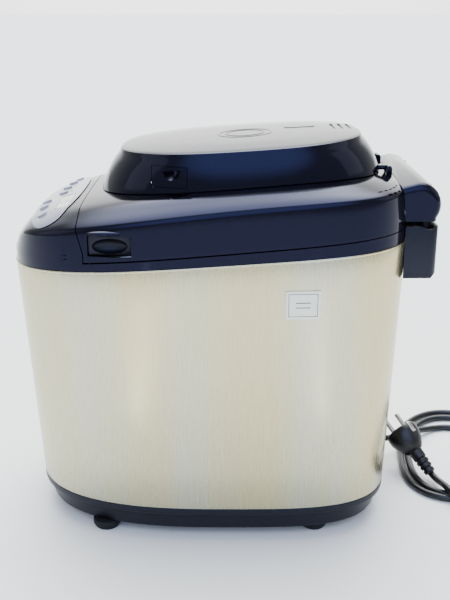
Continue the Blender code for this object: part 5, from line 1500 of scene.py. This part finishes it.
@dataclass
class MainsLead:
    """Mains lead: strain relief, looped cord and moulded two-pin plug with earth contacts."""

    radius: float = 3.6 * MM
    length: float = 1.37
    relief_x: float = -50 * MM
    relief_z: float = 20 * MM
    relief_length: float = 24 * MM
    gap: float = 0.3 * MM
    face: Vector = field(default_factory=lambda: Vector((-30.4, 194.6, 42)) * MM)
    tail: Vector = field(default_factory=lambda: Vector((5.1, 222.6, 10)) * MM)
    route: tuple = (
        (-59, 195, 18), (-68, 205, 15), (-80, 215, 13), (-92, 226, 10), (-104, 240, 6), (-111.5, 253, 4),
        (-114, 267, 3.7), (-110, 281.5, 3.7), (-98.5, 292, 3.7), (-82, 296, 3.7), (-52, 293.5, 3.7),
        (-18, 283.5, 3.7), (10, 271, 3.7), (26, 262, 3.7), (35.5, 251, 3.7), (38.3, 238, 3.7), (35, 226, 3.7),
        (25.5, 215.5, 3.7), (10, 209, 3.7), (-10, 206.5, 3.7), (-30, 207, 3.7), (-50, 209, 3.7),
        (-72, 212.5, 3.7), (-96, 220.5, 3.7), (-118, 233, 3.7), (-133.5, 248.5, 3.7), (-140, 266, 3.7),
        (-137, 285, 3.7), (-122, 300, 3.7), (-98, 305.5, 3.7), (-62, 303.5, 3.7), (-22, 294.5, 3.7),
        (15, 281, 3.7), (38, 265, 3.7), (47, 247, 3.7), (46, 229, 3.7), (37, 213, 3.7), (21, 202, 3.7),
        (2, 197.5, 3.7), (-20, 197.5, 3.7), (-46, 200.5, 3.7), (-72, 204, 3.7), (-98, 209.5, 3.7),
        (-122, 221.5, 3.7), (-141, 238, 3.7), (-152.5, 258, 3.7), (-154, 280, 3.7), (-145, 300, 3.7),
        (-124, 314.5, 3.7), (-95, 321, 3.7), (-62, 323, 3.7), (-28, 321.5, 3.7), (4, 317, 3.7),
        (32, 306.5, 3.7), (53, 291, 3.7), (65, 272, 3.7), (66, 256, 4.6), (60, 244.5, 7.6), (50.5, 236.5, 11),
        (39, 232, 12), (28, 229.8, 10), (17, 227.4, 7.8), (10.5, 225.6, 7.6),
    )

    def relief_place(self) -> tuple[Vector, Vector]:
        """(root, outward direction) of the strain relief on the tray's rear wall."""
        wall, step = FORM.foot.inset(6.4 * MM), 1 * MM
        x = self.relief_x
        slope = (wall.reach_at(x + step) - wall.reach_at(x - step)) / (2 * step)
        return Vector((x, wall.reach_at(x), self.relief_z)), Vector((-slope, 1, 0)).normalized()

    def path(self) -> list[Vector]:
        """The cord's centreline: a straight lead at each end, and a smooth line along the route."""
        root, out = self.relief_place()
        start = root + out * (self.relief_length + self.gap)
        back = (self.tail - self.face).normalized()
        end = self.tail + back * self.gap
        route = [start + out * 5 * MM, *[Vector(p) * MM for p in self.route], end + back * 3 * MM]
        ends = [2 * route[0] - route[1], *route, 2 * route[-1] - route[-2]]
        fine = [start]
        for a, b, c, d in zip(ends, ends[1:], ends[2:], ends[3:]):
            for step in range(5):
                t = step / 5
                fine.append(
                    0.5 * (2 * b + (c - a) * t + (2 * a - 5 * b + 4 * c - d) * t * t
                           + (3 * b - a - 3 * c + d) * t ** 3)
                )
        return [*fine, route[-1], end]

    def build(self) -> None:
        """Build and dress every piece."""
        root, out = self.relief_place()
        settle(self.relief(root, out), "base", "cord_vinyl", stands_for=["cord_strain_relief"])
        plug = settle(self.plug(), "base", "cord_vinyl", stands_for=["plug_body"])
        earth = settle(self.contacts(), "base", "wire_steel")
        pins = [
            settle(self.pin(side, sign), "base", "wire_steel", stands_for=[f"plug_pin_{side}"])
            for side, sign in (("left", -1), ("right", 1))
        ]
        lead = self.cord()
        settle(lead, "base", "cord_vinyl", stands_for=["power_cord"])

    def cord(self) -> bpy.types.Object:
        """The cord itself."""
        curve = bpy.data.curves.new("mains_cord", "CURVE")
        curve.dimensions = "3D"
        curve.bevel_depth = self.radius
        curve.bevel_resolution = 5
        curve.use_fill_caps = True
        points = self.path()
        line = curve.splines.new("POLY")
        line.points.add(len(points) - 1)
        for point, place in zip(line.points, points):
            point.co = (*place, 1)
        line.use_smooth = True
        made = bpy.data.objects.new("mains_cord", curve)
        bpy.context.scene.collection.objects.link(made)
        return made

    def relief(self, root: Vector, out: Vector) -> bpy.types.Object:
        """The strain relief: a tapered sleeve with grooves that let it bend."""
        profile = [(0, -3 * MM), (6.4 * MM, -3 * MM), (6.4 * MM, 2.5 * MM)]
        for step in range(5):
            at, r = (3.2 + 4 * step) * MM, (6.1 - 0.42 * step) * MM
            profile += [(r, at), (r, at + 2.1 * MM), (r - 1.1 * MM, at + 2.5 * MM), (r - 1.1 * MM, at + 3.6 * MM)]
        profile += [(4.2 * MM, 23.4 * MM), (3.8 * MM, self.relief_length), (0, self.relief_length)]
        return turned("strain_relief_sleeve", profile, root, out, 40)

    def axis(self) -> Vector:
        """Direction from the plug's tail to its face."""
        return (self.face - self.tail).normalized()

    def level(self) -> Vector:
        """Level direction across the plug, along which its pins are spread."""
        axis = self.axis()
        return Vector((axis.y, -axis.x, 0)).normalized()

    def plug(self) -> bpy.types.Object:
        """The plug's moulded body: a round head with a recessed rim, a waist and a ribbed tail."""
        total = (self.face - self.tail).length
        profile = [(0, 0), (5.2 * MM, 0)]
        for step in range(3):
            at, r = (0.6 + 5.6 * step) * MM, (6.0 + 0.5 * step) * MM
            profile += [(r, at + 0.3 * MM), (r, at + 3.4 * MM)]
            profile += [(r - 1.1 * MM, at + 3.9 * MM), (r - 1.1 * MM, at + 5.2 * MM)]
        profile += [
            (7.2 * MM, 18 * MM), (7.3 * MM, total - 28.5 * MM), (9.2 * MM, total - 27.2 * MM),
            (11.5 * MM, total - 24.5 * MM), (14.8 * MM, total - 19 * MM), (16.6 * MM, total - 13.5 * MM),
            (17.6 * MM, total - 9 * MM), (17.6 * MM, total - 2 * MM), (17.1 * MM, total - 0.8 * MM),
            (16.2 * MM, total), (15.4 * MM, total), (15 * MM, total - 0.7 * MM), (0, total - 0.7 * MM),
        ]
        return turned("plug_moulding", profile, self.tail, self.axis(), 56)

    def contacts(self) -> bpy.types.Object:
        """Earth contacts: two bright strips let into opposite edges of the plug's head."""
        axis, level = self.axis(), self.level()
        across = axis.cross(level)
        frame = Matrix((level, across, axis)).transposed().to_4x4()
        strips = []
        for sign in (-1, 1):
            ends = sorted((sign * 15.6 * MM, sign * 17.9 * MM))
            strip = block((-2.6 * MM, ends[0], -12 * MM), (2.6 * MM, ends[1], 0.2 * MM), 0.6 * MM)
            strips.append(moved(strip, Matrix.Translation(self.face) @ frame))
        return merged("plug_earth_contacts", strips)

    def pin(self, side: str, sign: int) -> bpy.types.Object:
        """A round pin with a domed tip."""
        axis = self.axis()
        base = self.face + self.level() * sign * 9.5 * MM - axis * 0.5 * MM
        r, length, tip = 2.4 * MM, 19.8 * MM, 1.6 * MM
        profile = [(0, 0), (r, 0), (r, length - tip)]
        for step in range(1, 6):
            angle = math.pi / 2 * step / 5
            across = r - tip * (1 - math.cos(angle)) if step < 5 else 0.8 * MM
            profile.append((across, length - tip + tip * math.sin(angle)))
        profile.append((0, length))
        return turned(f"plug_pin_{side}_turned", profile, base, axis, 32)


LEAD = MainsLead()


# -------------------------------------------------------------------------------- inner parts


@dataclass
class InnerPart:
    """An inner part redrawn from its CAD solid, with its edges eased and its curves shaded smooth."""

    node: str
    edge: float = 0.25 * MM
    finish: Optional[Finishes] = None

    def build(self) -> None:
        """Build and dress the part."""
        source = FRAME["nodes"][self.node]
        slot = next(s["material_slot"] for s in FRAME["record"]["subparts"] if s["node"] == self.node)
        mesh = bmesh.new()
        mesh.from_mesh(source.data)
        bmesh.ops.remove_doubles(mesh, verts=mesh.verts, dist=5e-6)
        bmesh.ops.dissolve_limit(mesh, angle_limit=math.radians(0.6), verts=mesh.verts, edges=mesh.edges)
        if self.edge:
            sharp = [e for e in mesh.edges if e.is_manifold and e.calc_face_angle(0) > math.radians(50)]
            bmesh.ops.bevel(
                mesh, geom=sharp, offset=self.edge, segments=2, profile=0.5, affect="EDGES", material=-1,
                clamp_overlap=True,
            )
        obj = solid(f"{self.node}_part", mesh, 35)
        settle(obj, source["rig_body"], slot, self.finish, stands_for=[self.node])


INNER_PARTS = (
    InnerPart("rear_hinge_housing", 0.8 * MM), InnerPart("display_module"), InnerPart("control_board", 0.0),
    InnerPart("oven_chamber"), InnerPart("heating_element", 0.0), InnerPart("temperature_sensor"),
    InnerPart("shaft_bearing"), InnerPart("pan_mount"), InnerPart("drive_belt"), InnerPart("motor"),
    InnerPart("motor_bracket"), InnerPart("lid_hinge_pin_left"), InnerPart("lid_hinge_pin_right"),
    InnerPart("drive_shaft"), InnerPart("large_pulley"), InnerPart("drive_coupling"),
    InnerPart("motor_pulley"),
    InnerPart("bread_pan"), InnerPart("pan_lock_ring"), InnerPart("bail_handle", 0.0), InnerPart("pan_shaft"),
    InnerPart("pan_coupling"), InnerPart("kneading_blade"), InnerPart("lid_liner"),
    InnerPart("nut_dispenser_box"), InnerPart("yeast_dispenser_box"), InnerPart("nut_flap"),
    InnerPart("yeast_flap"), InnerPart("dome_inner_plate"),
)


# -------------------------------------------------------------------------------- studio


@dataclass
class Studio:
    """Pale floor, soft lights and the camera."""

    lens: float = 54.0
    place: tuple[float, float, float] = (0.857146, 0.003297, 0.489725)
    pitch: float = 18.536
    sky: float = 0.80
    softboxes: tuple = (
        ("ffffff", (-0.93, 0.0, 0.36), (0.72, 0.95), 2.6),
        ("eef4ff", (-0.375, 0.0, 0.927), (0.80, 0.97), 11.0),
        ("a8c0ff", (0.743, 0.0, 0.669), (0.78, 0.96), 3.6),
    )

    def build(self) -> None:
        """Set the stage."""
        mesh = bmesh.new()
        bmesh.ops.create_grid(mesh, x_segments=4, y_segments=4, size=30.0)
        floor = solid("floor", mesh)
        floor.data.materials.append(Finishes.FLOOR.value.material())
        self.lights()
        camera = bpy.data.cameras.new("view")
        camera.lens = self.lens
        camera.sensor_width = 36.0
        camera.clip_start = 0.02
        holder = bpy.data.objects.new("view", camera)
        bpy.context.scene.collection.objects.link(holder)
        holder.location = self.place
        holder.rotation_euler = (math.radians(90 - self.pitch), 0, math.radians(90))
        bpy.context.scene.camera = holder

    def lights(self) -> None:
        """A bright even sky and large soft lights."""
        world = bpy.data.worlds.new("studio")
        world.use_nodes = True
        tree = world.node_tree
        sky = tree.nodes["Background"]
        sky.inputs["Color"].default_value = linear("f6faf8")
        sky.inputs["Strength"].default_value = self.sky
        where = add_node(tree, "ShaderNodeTexCoord").outputs["Generated"]
        total = sky.outputs[0]
        for tone, direction, (edge, full), gain in self.softboxes:
            towards = add_node(
                tree, "ShaderNodeVectorMath", {"operation": "DOT_PRODUCT", 1: Vector(direction).normalized()},
                {0: where}
            ).outputs["Value"]
            power = add_node(
                tree, "ShaderNodeMapRange",
                {"interpolation_type": "SMOOTHSTEP", "From Min": edge, "From Max": full, "To Max": gain},
                {"Value": towards},
            ).outputs["Result"]
            glow = add_node(
                tree, "ShaderNodeBackground", {"Color": linear(tone)}, {"Strength": power}
            ).outputs[0]
            total = add_node(tree, "ShaderNodeAddShader", {}, {0: total, 1: glow}).outputs[0]
        tree.links.new(total, tree.nodes["World Output"].inputs["Surface"])
        bpy.context.scene.world = world
        plan = (
            ("front", (0.5, -2.2, 1.3), 1.4, 1.4, 6.0), ("rear", (0.2, 2.3, 1.4), 1.4, 1.4, 6.0),
            ("near_left", (0.62, -0.20, 0.03), 0.02, 0.7, 0.16),
            ("near_right", (0.62, 0.23, 0.03), 0.02, 0.7, 0.14),
        )
        for name, spot, wide, tall, power in plan:
            light = bpy.data.lights.new(name, "AREA")
            light.shape = "RECTANGLE"
            light.size, light.size_y, light.energy = wide, tall, power
            holder = bpy.data.objects.new(name, light)
            bpy.context.scene.collection.objects.link(holder)
            holder.location = spot
            if spot[2] > 0.1:
                aim = Vector((0, 0, 0.2)) - Vector(spot)
                holder.rotation_euler = aim.to_track_quat("-Z", "Y").to_euler()
            else:
                away = math.atan2(spot[1], spot[0] + 0.6)
                holder.rotation_euler = (math.pi, 0, away + math.pi / 2)
            holder.visible_camera = False


def main() -> None:
    """Build every sub-assembly in order."""
    logging.basicConfig(level=logging.INFO, format="%(message)s")
    Studio().build()
    LEAD.build()
    BodyShell().build()
    TopFrame().build()
    Console().build()
    MainLid().build()
    DomedLid().build()
    DomeHinge().build()
    for part in INNER_PARTS:
        part.build()


if __name__ == "__main__":
    main()
